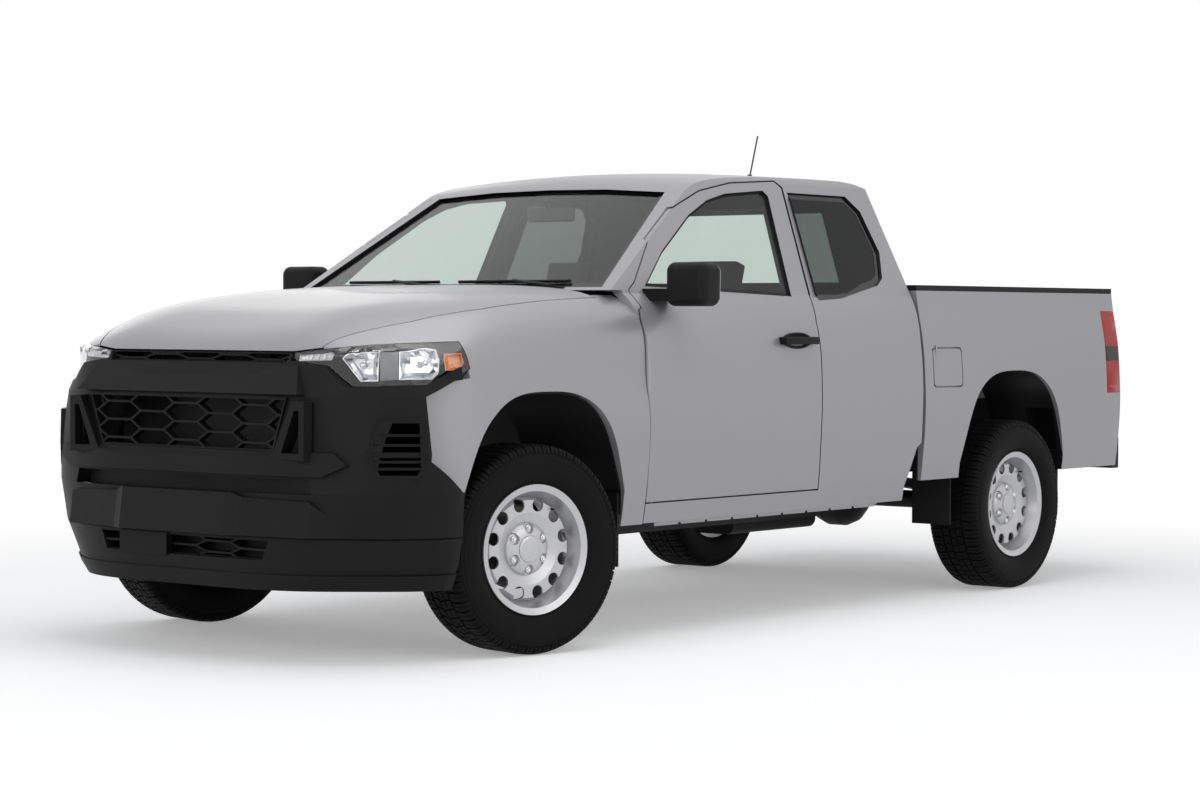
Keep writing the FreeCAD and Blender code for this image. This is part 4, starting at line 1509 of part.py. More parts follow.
def make_fittings(pieces):
    housing = block(MIRROR_INNER, MIRROR_OUTER, MIRROR_FRONT, MIRROR_FRONT + MIRROR_DEPTH, MIRROR_BOTTOM,
                    MIRROR_BOTTOM + MIRROR_HEIGHT)
    edges = [e for e in housing.Edges]
    housing = housing.makeFillet(MIRROR_DEPTH * 0.28, edges)
    foot_z = MIRROR_BOTTOM + MIRROR_HEIGHT * 0.12
    foot = block(HALF_WIDTH * 0.80, MIRROR_INNER + MIRROR_DEPTH / 2, MIRROR_FRONT,
                 MIRROR_FRONT + MIRROR_FOOT_LENGTH,
                 foot_z, foot_z + MIRROR_HEIGHT * 0.28)
    skin = cab_volume(0, 0)
    foot = foot.cut(skin)
    mirror_piece = solid_of(foot.fuse(housing))
    band = [(HANDLE_FRONT, HANDLE_HEIGHT - HANDLE_THICKNESS / 2),
            (HANDLE_FRONT, HANDLE_HEIGHT + HANDLE_THICKNESS / 2),
            (HANDLE_FRONT + HANDLE_LENGTH, HANDLE_HEIGHT + HANDLE_THICKNESS / 2),
            (HANDLE_FRONT + HANDLE_LENGTH, HANDLE_HEIGHT - HANDLE_THICKNESS / 2)]
    thick = cab_volume(-HANDLE_STAND, 0).cut(skin)
    grip = thick.common(side_cut(band))
    mid = HANDLE_LENGTH * 0.18
    hollow = cab_volume(-HANDLE_STAND * 0.55, 0).common(
        block(0, HALF_WIDTH * 2, HANDLE_FRONT + mid, HANDLE_FRONT + HANDLE_LENGTH - mid, 0, ROOF_HEIGHT))
    grip = solid_of(grip.cut(hollow))
    pieces["door_fittings_left"] = Part.makeCompound([mirror_piece, grip])
    pieces["door_fittings_right"] = mirrored(pieces["door_fittings_left"])

    tail = WHEELBASE + REAR_OVERHANG
    outline = spread(STEP_SHARES, (STEP_FRONT, STEP_BOTTOM), (tail - STEP_FRONT, STEP_TOP - STEP_BOTTOM))
    step = prism_x(outline, -STEP_BAR_HALF, STEP_BAR_HALF)
    ends = prism_z([(STEP_BAR_HALF - STEP_END_TAPER, tail), (STEP_BAR_HALF, tail),
                    (STEP_BAR_HALF, tail - STEP_END_TAPER)],
                   STEP_BOTTOM, STEP_TOP)
    notch = block(STEP_BAR_HALF - STEP_NOTCH_WIDTH, STEP_BAR_HALF, tail - STEP_NOTCH_DEPTH, tail,
                  STEP_BOTTOM + STEP_NOTCH_HEIGHT, STEP_TOP)
    step = step.cut([ends, mirrored(ends), notch, mirrored(notch)])
    tube = HITCH_SQUARE / 2 + HITCH_WALL + SEAT_GAP
    rear_z = rail_height(FRAME_REAR) + RAIL_DEPTH / 2
    step = step.cut(block(-tube, tube, 0, tail + OVERRUN, rear_z - tube, rear_z + tube))
    step = step.cut(pieces["chassis_frame"])
    pieces["rear_bumper"] = solid_of(step)

    flaps = []
    x = TRACK / 2
    flap_rear = FRONT_ARCH_CENTRE + FRONT_ARCH_HALF - LINER_THICKNESS - SEAT_GAP * 2
    flap_inner = FRONT_FLAP_OUTER - 2 * MUD_FLAP_HALF_WIDTH
    flaps.append(block(flap_inner, FRONT_FLAP_OUTER, flap_rear - MUD_FLAP_THICKNESS, flap_rear,
                       FRONT_FLAP_BOTTOM, FRONT_FLAP_TOP))
    arch_y = WHEELBASE + REAR_ARCH_CENTRE
    for y in (arch_y - REAR_ARCH_HALF - MUD_FLAP_THICKNESS * 2, arch_y + REAR_ARCH_HALF + MUD_FLAP_THICKNESS):
        flap = block(x - MUD_FLAP_HALF_WIDTH, x + MUD_FLAP_HALF_WIDTH / 2, y, y + MUD_FLAP_THICKNESS,
                     REAR_FLAP_BOTTOM, REAR_FLAP_TOP)
        flaps.append(solid_of(flap.cut(pieces["bed"])))
    flaps += [mirrored(f) for f in flaps]
    pieces["mud_flaps"] = Part.makeCompound(flaps)

    liner = front_arch(-SEAT_GAP, LINER_INNER, HALF_WIDTH - FENDER_THICKNESS - SEAT_GAP)
    liner = liner.cut(front_arch(-LINER_THICKNESS, LINER_INNER - OVERRUN, HALF_WIDTH))
    liner = liner.cut(block(0, HALF_WIDTH, -FRONT_OVERHANG, WHEELBASE, 0, LINER_BOTTOM))
    pieces["arch_liners"] = both_sides(solid_of(liner))

    lean = math.radians(ANTENNA_LEAN)
    base_z = ROOF_HEIGHT - ROOF_CROWN * (ANTENNA_PLACE / ROOF_CROWN_HALF) ** 2
    mast = Part.makeCylinder(ANTENNA_RADIUS, ANTENNA_LENGTH, vec(ANTENNA_PLACE, ANTENNA_FOOT, base_z),
                             vec(0, math.sin(lean), math.cos(lean)))
    foot = Part.makeCylinder(ANTENNA_RADIUS * 3, ANTENNA_RADIUS * 6,
                             vec(ANTENNA_PLACE, ANTENNA_FOOT, base_z - ANTENNA_RADIUS * 3))
    pieces["antenna"] = solid_of(mast.fuse(foot).cut(skin))


def make_wheels(pieces):
    rim_shape = rim()
    tyre_shape = tyre()
    knuckle_shape = knuckle()
    for side, word in ((1, "left"), (-1, "right")):
        pieces["knuckle_" + word] = placed_wheel(knuckle_shape, side, 0, REST_STEER)
        pieces["rim_front_" + word] = placed_wheel(rim_shape, side, 0, REST_STEER)
        pieces["tyre_front_" + word] = placed_wheel(tyre_shape, side, 0, REST_STEER)
        pieces["rim_rear_" + word] = placed_wheel(rim_shape, side, WHEELBASE, 0)
        pieces["tyre_rear_" + word] = placed_wheel(tyre_shape, side, WHEELBASE, 0)


def main():
    os.makedirs("parts", exist_ok=True)
    pieces = {}
    make_body_panels(pieces)
    make_front(pieces)
    make_bed(pieces)
    make_frame(pieces)
    make_running_gear(pieces)
    make_cabin(pieces)
    make_wheels(pieces)
    make_fittings(pieces)
    for name, shape in pieces.items():
        save(name, shape)
        print(name, shape.isValid(), len(shape.Solids), round(shape.Volume / 1e6, 1))


main()
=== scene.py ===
"""Looks of the extended-cab pickup truck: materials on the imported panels, and the pieces that a
rigid solid can't show, such as tread, lamp insides, seats, seals and trim. Metres, +X the truck's
left, -Y its nose, +Z up."""
import math

import bmesh
import bpy
from mathutils import Matrix, Vector


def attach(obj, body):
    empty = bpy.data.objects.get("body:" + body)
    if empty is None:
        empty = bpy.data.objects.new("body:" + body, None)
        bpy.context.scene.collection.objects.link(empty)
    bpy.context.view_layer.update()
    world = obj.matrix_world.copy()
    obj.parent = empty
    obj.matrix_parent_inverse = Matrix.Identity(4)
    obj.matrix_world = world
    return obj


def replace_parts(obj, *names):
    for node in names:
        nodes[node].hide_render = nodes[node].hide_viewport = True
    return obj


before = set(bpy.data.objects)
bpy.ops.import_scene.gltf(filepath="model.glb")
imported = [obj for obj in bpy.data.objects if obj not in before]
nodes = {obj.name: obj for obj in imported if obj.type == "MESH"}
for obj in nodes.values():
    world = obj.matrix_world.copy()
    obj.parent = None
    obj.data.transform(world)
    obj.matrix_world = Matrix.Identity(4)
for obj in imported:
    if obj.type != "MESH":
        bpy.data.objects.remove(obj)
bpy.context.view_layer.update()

# Places of the axles and the kingpins, in metres

HUB_HEIGHT = 0.381
FRONT_AXLE = -1.7725
REAR_AXLE = 1.5645
HALF_TRACK = 0.845
KINGPIN = 0.775
REST_STEER = math.radians(-12.4)


# Camera and light

CAMERA_PLACE = (7.5475, -9.7168, 1.2199)
HEADING = math.radians(38.58)
DIP = math.radians(1.66)
ROLL = math.radians(0.18)
LENS_LENGTH = 85.9
SENSOR_WIDTH = 36.0
SIGHT = 200.0
WHITE = (1, 1, 1, 1)
SKY_COLOUR = (0.93, 0.96, 1.0, 1)
SKY_STRENGTH = 0.29
# Name, place, aim, size and power of each panel
PANELS = (
    ("top_panel", (1.2, -1.0, 6.5), (0, -0.3, 0.8), (5.5, 7.5), 158),
    ("side_panel", (8.0, -1.5, 3.2), (0, 0, 0.8), (7.0, 3.0), 88),
    ("nose_panel", (1.5, -9.0, 3.0), (0, -2, 0.8), (6.0, 2.6), 105),
    ("far_panel", (-7.0, 2.5, 3.5), (0, 0, 0.8), (6.0, 3.0), 60))
FLOOR_SIZE = 60
FLOOR_COLOUR = (0.98, 0.98, 0.98, 1)
FLOOR_ROUGHNESS = 0.85
FLOOR_LIFT = 0.3
FADE_START = 2.6
FADE_END = 6.0


def place_camera():
    """Camera at the photograph's place, turned by its own heading, dip and roll."""
    back = Vector((math.sin(HEADING) * math.cos(DIP), -math.cos(HEADING) * math.cos(DIP), math.sin(DIP)))
    right = Vector((math.cos(HEADING), math.sin(HEADING), 0))
    up = back.cross(right)
    turned_right = right * math.cos(ROLL) + up * math.sin(ROLL)
    turned_up = up * math.cos(ROLL) - right * math.sin(ROLL)
    data = bpy.data.cameras.new("photo_camera")
    data.sensor_width = SENSOR_WIDTH
    data.lens = LENS_LENGTH
    data.clip_end = SIGHT
    camera = bpy.data.objects.new("photo_camera", data)
    bpy.context.scene.collection.objects.link(camera)
    camera.matrix_world = Matrix((*zip(turned_right, turned_up, back, CAMERA_PLACE), (0, 0, 0, 1)))
    bpy.context.scene.camera = camera


def fill(node, values):
    """Fixed values on the named sockets of a node."""
    for name, value in values.items():
        node.inputs[name].default_value = value


def joined_value(tree, how, first, second):
    """Socket of two values put together."""
    node = tree.nodes.new("ShaderNodeMath")
    node.operation = how
    for socket, value in zip(node.inputs, (first, second)):
        if isinstance(value, (int, float)):
            socket.default_value = value
        else:
            tree.links.new(value, socket)
    return node.outputs[0]


def seen_straight(tree):
    """One where the camera looks, straight or through gloss or glass."""
    path = tree.nodes.new("ShaderNodeLightPath")
    gloss = joined_value(tree, "MAXIMUM", path.outputs["Is Camera Ray"], path.outputs["Is Glossy Ray"])
    return joined_value(tree, "MAXIMUM", gloss, path.outputs["Is Transmission Ray"])


def background(tree, colour, strength):
    """Light of the world in one colour."""
    node = tree.nodes.new("ShaderNodeBackground")
    fill(node, {"Color": colour, "Strength": strength})
    return node.outputs[0]


def mixed(tree, share, first, second):
    """Shader that goes from the first to the second."""
    node = tree.nodes.new("ShaderNodeMixShader")
    for socket, value in zip(node.inputs, (share, first, second)):
        tree.links.new(value, socket)
    return node.outputs[0]


def light_scene():
    """Soft sky and four panels over the truck, with plain white behind it."""
    scene = bpy.context.scene
    scene.view_settings.view_transform = "Standard"
    world = bpy.data.worlds.new("studio")
    scene.world = world
    world.use_nodes = True
    tree = world.node_tree
    tree.nodes.clear()
    out = tree.nodes.new("ShaderNodeOutputWorld")
    sky = background(tree, SKY_COLOUR, SKY_STRENGTH)
    plain = background(tree, WHITE, 1.0)
    tree.links.new(mixed(tree, seen_straight(tree), sky, plain), out.inputs["Surface"])
    for name, place, aim, size, power in PANELS:
        data = bpy.data.lights.new(name, "AREA")
        data.shape = "RECTANGLE"
        data.size, data.size_y = size
        data.energy = power
        lamp = bpy.data.objects.new(name, data)
        scene.collection.objects.link(lamp)
        lamp.location = place
        lamp.rotation_euler = (Vector(place) - Vector(aim)).to_track_quat("Z", "Y").to_euler()


def lay_floor():
    """Pale floor that keeps the truck's shadow and goes white away from it."""
    bpy.ops.object.select_all(action="DESELECT")
    bpy.ops.mesh.primitive_plane_add(size=FLOOR_SIZE, location=(0, 0, 0))
    floor = bpy.context.object
    floor.name = "floor"
    paint = bpy.data.materials.new("pale_floor")
    paint.use_nodes = True
    tree = paint.node_tree
    surface = tree.nodes["Principled BSDF"]
    fill(surface, {"Base Color": FLOOR_COLOUR, "Roughness": FLOOR_ROUGHNESS})
    place = tree.nodes.new("ShaderNodeTexCoord")
    length = tree.nodes.new("ShaderNodeVectorMath")
    length.operation = "LENGTH"
    tree.links.new(place.outputs["Object"], length.inputs[0])
    away = tree.nodes.new("ShaderNodeMapRange")
    away.interpolation_type = "SMOOTHSTEP"
    fill(away, {"From Min": FADE_START, "From Max": FADE_END})
    tree.links.new(length.outputs["Value"], away.inputs["Value"])
    straight = seen_straight(tree)
    glow = tree.nodes.new("ShaderNodeEmission")
    tree.links.new(joined_value(tree, "MULTIPLY", straight, FLOOR_LIFT), glow.inputs["Strength"])
    lit = tree.nodes.new("ShaderNodeAddShader")
    tree.links.new(surface.outputs[0], lit.inputs[0])
    tree.links.new(glow.outputs[0], lit.inputs[1])
    white = tree.nodes.new("ShaderNodeEmission")
    share = joined_value(tree, "MULTIPLY", straight, away.outputs["Result"])
    shown = mixed(tree, share, lit.outputs[0], white.outputs[0])
    tree.links.new(shown, tree.nodes["Material Output"].inputs["Surface"])
    floor.data.materials.append(paint)


# Materials

PATCH_DETAIL = 3.0
GRAIN_DETAIL = 2.0
GRAIN_DEPTH = 0.001


def grain_group():
    """Fine bumps and slow colour changes over a surface, from its own coordinates."""
    group = bpy.data.node_groups.new("surface_grain", "ShaderNodeTree")
    face = group.interface
    face.new_socket("Vector", in_out="INPUT", socket_type="NodeSocketVector")
    face.new_socket("Base", in_out="INPUT", socket_type="NodeSocketColor")
    face.new_socket("Shift", in_out="INPUT", socket_type="NodeSocketColor")
    for name in ("Patch Scale", "Grain Scale", "Grain Height"):
        face.new_socket(name, in_out="INPUT", socket_type="NodeSocketFloat")
    face.new_socket("Colour", in_out="OUTPUT", socket_type="NodeSocketColor")
    face.new_socket("Mask", in_out="OUTPUT", socket_type="NodeSocketFloat")
    face.new_socket("Normal", in_out="OUTPUT", socket_type="NodeSocketVector")
    link = group.links.new
    ins = group.nodes.new("NodeGroupInput")
    outs = group.nodes.new("NodeGroupOutput")
    patch = group.nodes.new("ShaderNodeTexNoise")
    patch.inputs["Detail"].default_value = PATCH_DETAIL
    fine = group.nodes.new("ShaderNodeTexNoise")
    fine.inputs["Detail"].default_value = GRAIN_DETAIL
    blend = group.nodes.new("ShaderNodeMix")
    blend.data_type = "RGBA"
    bump = group.nodes.new("ShaderNodeBump")
    bump.inputs["Distance"].default_value = GRAIN_DEPTH
    link(ins.outputs["Vector"], patch.inputs["Vector"])
    link(ins.outputs["Vector"], fine.inputs["Vector"])
    link(ins.outputs["Patch Scale"], patch.inputs["Scale"])
    link(ins.outputs["Grain Scale"], fine.inputs["Scale"])
    link(patch.outputs["Fac"], blend.inputs["Factor"])
    link(ins.outputs["Base"], blend.inputs["A"])
    link(ins.outputs["Shift"], blend.inputs["B"])
    link(fine.outputs["Fac"], bump.inputs["Height"])
    link(ins.outputs["Grain Height"], bump.inputs["Strength"])
    link(blend.outputs["Result"], outs.inputs["Colour"])
    link(patch.outputs["Fac"], outs.inputs["Mask"])
    link(bump.outputs["Normal"], outs.inputs["Normal"])
    return group


GRAIN = grain_group()


def grained(name, base, shift, patch, grain, height):
    """New material whose colour comes from the grain group, with its surface and that group."""
    material = bpy.data.materials.new(name)
    material.use_nodes = True
    tree = material.node_tree
    surface = tree.nodes["Principled BSDF"]
    place = tree.nodes.new("ShaderNodeTexCoord")
    group = tree.nodes.new("ShaderNodeGroup")
    group.node_tree = GRAIN
    fill(group, {"Base": (*base, 1), "Shift": (*shift, 1), "Patch Scale": patch, "Grain Scale": grain,
                 "Grain Height": height})
    tree.links.new(place.outputs["Object"], group.inputs["Vector"])
    tree.links.new(group.outputs["Colour"], surface.inputs["Base Color"])
    return material, surface, group


def finish(name, base, shift, rough, metal=0.0, patch=3.0, grain=400.0, height=0.1, coat=0.0,
           rough_spread=0.0, coat_rough=0.03, sheen=0.0, shine=0.5):
    """Solid finish: colour and bumps from the grain group, gloss from its own sockets."""
    material, surface, group = grained(name, base, shift, patch, grain, height)
    tree = material.node_tree
    tree.links.new(group.outputs["Normal"], surface.inputs["Normal"])
    if rough_spread:
        spread = tree.nodes.new("ShaderNodeMapRange")
        fill(spread, {"To Min": rough - rough_spread, "To Max": rough + rough_spread})
        tree.links.new(group.outputs["Mask"], spread.inputs["Value"])
        tree.links.new(spread.outputs["Result"], surface.inputs["Roughness"])
    else:
        fill(surface, {"Roughness": rough})
    fill(surface, {"Metallic": metal, "Coat Weight": coat, "Coat Roughness": coat_rough,
                   "Sheen Weight": sheen, "Specular IOR Level": shine})
    return material


GLASS_SHIFT = 1.03
GLASS_PATCH = 2.0
GLASS_GRAIN = 30.0


def tinted_glass(name, tint, ior=1.45):
    """Smooth, clear glass with a tint."""
    shift = [min(1.0, part * GLASS_SHIFT) for part in tint]
    material, surface, _ = grained(name, tint, shift, GLASS_PATCH, GLASS_GRAIN, 0.0)
    fill(surface, {"Transmission Weight": 1.0, "Roughness": 0.0, "IOR": ior})
    return material


PAINT_METAL = 0.42
PAINT_COAT = 0.12


def silver_paint(name):
    """Metallic paint under a clear coat, with flakes that turn light and dark."""
    return finish(name, (0.35, 0.345, 0.358), (0.41, 0.405, 0.418), 0.38, metal=PAINT_METAL, patch=900.0,
                  grain=1.5, height=0.02, coat=PAINT_COAT, coat_rough=0.04, shine=0.3)


PAINT = silver_paint("silver_paint")
BLACK_PLASTIC = finish("black_plastic", (0.007, 0.007, 0.0075), (0.011, 0.011, 0.012), 0.5, patch=6.0,
                       grain=900.0, height=0.35, rough_spread=0.06, shine=0.14)
GLOSS_BLACK = finish("gloss_black", (0.006, 0.006, 0.007), (0.009, 0.009, 0.01), 0.18, grain=60.0,
                     height=0.01, coat=0.3, shine=0.3)
FRAME_PAINT = finish("frame_black", (0.012, 0.012, 0.013), (0.02, 0.02, 0.019), 0.5, patch=5.0,
                     grain=90.0, height=0.3, rough_spread=0.1, shine=0.25)
CASTING = finish("raw_casting", (0.12, 0.12, 0.12), (0.2, 0.19, 0.18), 0.5, metal=0.8, patch=12.0,
                 grain=220.0, height=0.6, rough_spread=0.1)
WHEEL_PAINT = finish("wheel_silver", (0.52, 0.52, 0.53), (0.6, 0.6, 0.61), 0.36, metal=0.6, patch=60.0,
                     grain=2.0, height=0.02, coat=0.3)
TYRE = finish("tyre_rubber", (0.005, 0.005, 0.0053), (0.009, 0.0087, 0.0085), 0.62, patch=9.0,
              grain=700.0, height=0.3, rough_spread=0.07, shine=0.09)
FLAP_RUBBER = finish("flap_rubber", (0.009, 0.009, 0.009), (0.014, 0.014, 0.014), 0.6, patch=8.0,
                     grain=300.0, height=0.3, shine=0.2)
CLOTH = finish("seat_cloth", (0.014, 0.0145, 0.016), (0.026, 0.027, 0.029), 0.9, patch=14.0,
               grain=1400.0, height=0.6, sheen=0.2, shine=0.2)
TRIM = finish("cabin_trim", (0.012, 0.012, 0.013), (0.02, 0.02, 0.022), 0.6, patch=7.0,
              grain=1100.0, height=0.4, shine=0.25)
CHROME = finish("reflector_chrome", (0.7, 0.7, 0.72), (0.8, 0.8, 0.82), 0.12, metal=1.0, patch=20.0,
                grain=50.0, height=0.02)
LAMP_SILVER = finish("lamp_silver", (0.55, 0.55, 0.57), (0.66, 0.66, 0.68), 0.3, metal=0.6, patch=30.0,
                     grain=90.0, height=0.05)
LAMP_GREY = finish("lamp_grey", (0.22, 0.22, 0.23), (0.3, 0.3, 0.31), 0.35, metal=0.4, patch=20.0,
                   grain=90.0, height=0.05)
AMBER = finish("amber_lens", (0.8, 0.19, 0.012), (0.9, 0.28, 0.02), 0.2, patch=30.0, grain=300.0,
               coat=1.0)
CLEAR_LENS = tinted_glass("clear_lens", (0.96, 0.97, 0.98))


def joined_vector(tree, how, first, second):
    """Socket of a vector and another vector, or a fixed one, put together."""
    node = tree.nodes.new("ShaderNodeVectorMath")
    node.operation = how
    tree.links.new(first, node.inputs[0])
    if isinstance(second, tuple):
        node.inputs[1].default_value = second
    else:
        tree.links.new(second, node.inputs[1])
    return node.outputs["Value" if how == "DOT_PRODUCT" else "Vector"]


def own_place(tree):
    """Socket of the place on a piece."""
    return next(node for node in tree.nodes if node.type == "TEX_COORD").outputs["Object"]


def zone_mask(tree, tests):
    """One where every named part of the place is past its limit, and nought elsewhere."""
    parts = tree.nodes.new("ShaderNodeSeparateXYZ")
    tree.links.new(own_place(tree), parts.inputs[0])
    mask = None
    for axis, how, limit in tests:
        value = parts.outputs[axis.strip("|")]
        if axis.startswith("|"):
            value = joined_value(tree, "ABSOLUTE", value, 0.0)
        value = joined_value(tree, {"over": "GREATER_THAN", "under": "LESS_THAN"}[how], value, limit)
        mask = value if mask is None else joined_value(tree, "MULTIPLY", mask, value)
    return mask


def facing_mask(tree, middle, axes, limit):
    """One on faces turned towards a middle, measured along the axes that are kept."""
    shape = tree.nodes.new("ShaderNodeNewGeometry")
    away = joined_vector(tree, "MULTIPLY", joined_vector(tree, "SUBTRACT", own_place(tree), middle), axes)
    turned = joined_vector(tree, "DOT_PRODUCT", away, shape.outputs["True Normal"])
    return joined_value(tree, "LESS_THAN", turned, limit)


def coloured(material, other, mask):
    """Second colour over a finish where the mask is one."""
    tree = material.node_tree
    surface = tree.nodes["Principled BSDF"]
    blend = tree.nodes.new("ShaderNodeMix")
    blend.data_type = "RGBA"
    tree.links.new(mask, blend.inputs["Factor"])
    tree.links.new(surface.inputs["Base Color"].links[0].from_socket, blend.inputs["A"])
    blend.inputs["B"].default_value = (*other, 1)
    tree.links.new(blend.outputs["Result"], surface.inputs["Base Color"])


def two_coloured(material, other, tests):
    """Second colour over one zone of a finish."""
    coloured(material, other, zone_mask(material.node_tree, tests))


def dark_side(material, other, mask):
    """Dull second colour on the hidden side of a painted panel."""
    tree = material.node_tree
    surface = tree.nodes["Principled BSDF"]
    coloured(material, other, mask)
    outside = joined_value(tree, "SUBTRACT", 1.0, mask)
    for name, value in (("Metallic", PAINT_METAL), ("Coat Weight", PAINT_COAT)):
        tree.links.new(joined_value(tree, "MULTIPLY", outside, value), surface.inputs[name])


CABIN_COLOUR = (0.014, 0.014, 0.015)
CAB_MIDDLE = (0.0, -0.35, 1.15)
EVERY_AXIS = (1.0, 1.0, 1.0)
UNDERSIDE_COLOUR = (0.012, 0.012, 0.013)
ARCH_REACH = 0.56
ARCH_EDGE = 0.945
ARCH_TOP = 0.99
ARCH_SLACK = -0.05
ACROSS_AXLE = (0.0, 1.0, 1.0)
FLOOR_EDGE = 0.925
FLOOR_UNDERSIDE = 0.846
QUARTER_EDGE = 0.62
QUARTER_FRONT = 0.02
QUARTER_TINT = (0.13, 0.15, 0.145)
DARK_BAND = (1.02, 1.09)
LAMP_INNER_EDGE = 0.8
LAMP_INNER_END = 2.508


def cabin_side(material):
    """Dark trim on the faces of the painted panels that look into the cab."""
    dark_side(material, CABIN_COLOUR, facing_mask(material.node_tree, CAB_MIDDLE, EVERY_AXIS, 0.0))


def wheel_side(material):
    """Dark, dull colour under the bed floor and on the rear arches' faces turned to the wheel."""
    tree = material.node_tree
    under = zone_mask(tree, [("|X|", "under", FLOOR_EDGE), ("Z", "under", FLOOR_UNDERSIDE)])
    facing = facing_mask(tree, (0.0, REAR_AXLE, HUB_HEIGHT), ACROSS_AXLE, ARCH_SLACK)
    inboard = zone_mask(tree, [("|X|", "under", ARCH_EDGE), ("Z", "under", ARCH_TOP),
                               ("Y", "over", REAR_AXLE - ARCH_REACH),
                               ("Y", "under", REAR_AXLE + ARCH_REACH)])
    arch = joined_value(tree, "MULTIPLY", facing, inboard)
    dark_side(material, UNDERSIDE_COLOUR, joined_value(tree, "MAXIMUM", under, arch))


CAB_PAINT = silver_paint("cab_paint")
cabin_side(CAB_PAINT)
BED_PAINT = silver_paint("bed_paint")
wheel_side(BED_PAINT)
GLASS = tinted_glass("window_glass", (0.7, 0.76, 0.73), ior=1.25)
two_coloured(GLASS, QUARTER_TINT, [("|X|", "over", QUARTER_EDGE), ("Y", "over", QUARTER_FRONT)])
RED_LENS = finish("red_lens", (0.46, 0.008, 0.01), (0.58, 0.014, 0.016), 0.16, patch=40.0, grain=350.0,
                  height=0.08, coat=0.1, shine=0.25)
two_coloured(RED_LENS, (0.03, 0.008, 0.009), [("Z", "over", DARK_BAND[0]), ("Z", "under", DARK_BAND[1])])
two_coloured(RED_LENS, (0.03, 0.03, 0.031),
             [("|X|", "under", LAMP_INNER_EDGE), ("Y", "under", LAMP_INNER_END)])

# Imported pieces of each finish
PAINTED = (
    (CAB_PAINT, "cab_shell door_left door_right"),
    (BED_PAINT, "bed"),
    (PAINT, "hood front_fenders tailgate fuel_flap"),
    (BLACK_PLASTIC, "front_bumper grille bed_rail_caps rear_bumper arch_liners fuel_tank"),
    (BLACK_PLASTIC, "door_fittings_left door_fittings_right"),
    (FLAP_RUBBER, "mud_flaps"),
    (GLASS, "fixed_glass door_glass_left door_glass_right"),
    (CLEAR_LENS, "headlamps"),
    (RED_LENS, "tail_lamps"),
    (GLOSS_BLACK, "antenna inside_mirror"),
    (FRAME_PAINT, "chassis_frame front_suspension rear_axle leaf_springs driveshaft radiator"),
    (CASTING, "engine_block exhaust knuckle_left knuckle_right"),
    (TRIM, "dashboard steering_wheel"),
    (CLOTH, "seats"),
    (WHEEL_PAINT, "rim_front_left rim_front_right rim_rear_left rim_rear_right"),
    (TYRE, "tyre_front_left tyre_front_right tyre_rear_left tyre_rear_right"))


def paint_nodes():
    """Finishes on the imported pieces."""
    for material, names in PAINTED:
        for name in names.split():
            nodes[name].data.materials.clear()
            nodes[name].data.materials.append(material)


# Modelling tools

SIDES = (("left", 1), ("right", -1))
LINE_START = 0.01
MERGE_GAP = 0.00001
FACING = 0.9
FACET_ANGLE = 30
TURNED_ANGLE = 40
HAIR_EDGE = 0.0008
THIN_EDGE = 0.0015


def leave_edit():
    """Closes the piece that is open."""
    if bpy.context.object and bpy.context.object.mode != "OBJECT":
        bpy.ops.object.mode_set(mode="OBJECT")


def unpick():
    """Leaves no piece open or chosen."""
    leave_edit()
    bpy.ops.object.select_all(action="DESELECT")


def choose_all():
    """Selects all of the piece that is open."""
    bpy.ops.mesh.select_all(action="SELECT")


def pull(reach):
    """Pulls out what is selected."""
    bpy.ops.mesh.extrude_region_move(TRANSFORM_OT_translate={"value": reach})


def pick(piece):
    """Makes one piece the only chosen one."""
    unpick()
    piece.select_set(True)
    bpy.context.view_layer.objects.active = piece


def open_edit(piece, mode="VERT"):
    """Opens a piece with all of it chosen."""
    pick(piece)
    bpy.ops.object.mode_set(mode="EDIT")
    bpy.ops.mesh.select_mode(type=mode)
    choose_all()


def choose(piece, kind, test):
    """Selects what passes a test in the piece that is open."""
    bpy.ops.mesh.select_mode(type=kind)
    bpy.ops.mesh.select_all(action="DESELECT")
    shape = bmesh.from_edit_mesh(piece.data)
    parts = {"VERT": shape.verts, "EDGE": shape.edges, "FACE": shape.faces}[kind]
    for part in parts:
        if test(part):
            part.select_set(True)
    shape.select_flush_mode()
    bmesh.update_edit_mesh(piece.data)


def draw_line(name, points):
    """Line through the points, drawn on from one corner."""
    unpick()
    bpy.ops.mesh.primitive_plane_add(size=LINE_START, location=(0, 0, 0))
    piece = bpy.context.object
    piece.name = name
    open_edit(piece)
    bpy.ops.mesh.merge(type="CENTER")
    bpy.ops.transform.translate(value=points[0])
    for here, there in zip(points, points[1:]):
        pull(Vector(there) - Vector(here))
    return piece


def draw_face(name, points):
    """Face inside a closed outline."""
    piece = draw_line(name, points)
    last = len(points) - 1
    choose(piece, "VERT", lambda v: v.index in (0, last))
    bpy.ops.mesh.edge_face_add()
    choose_all()
    bpy.ops.mesh.edge_face_add()
    return piece


def even_out():
    """Merged doubles and outward faces in the piece that is open."""
    choose_all()
    bpy.ops.mesh.remove_doubles(threshold=MERGE_GAP)
    bpy.ops.mesh.normals_make_consistent(inside=False)


def draw_block(name, points, reach):
    """Outline pulled out into a solid."""
    piece = draw_face(name, points)
    choose_all()
    pull(reach)
    even_out()
    leave_edit()
    return piece


def spun(name, profile, steps=96, closed=False):
    """Profile of (along, radius) points turned about the X axis."""
    points = [(along, 0, radius) for along, radius in profile]
    if closed:
        points.append(points[0])
    piece = draw_line(name, points)
    choose_all()
    bpy.ops.mesh.spin(steps=steps, angle=math.tau, center=(0, 0, 0), axis=(1, 0, 0))
    even_out()
    leave_edit()
    return piece


def add_modifier(piece, kind, **values):
    """Adds a modifier with its values and applies it."""
    pick(piece)
    modifier = piece.modifiers.new(kind.lower(), kind)
    for key, value in values.items():
        setattr(modifier, key, value)
    bpy.ops.object.modifier_apply(modifier=modifier.name)


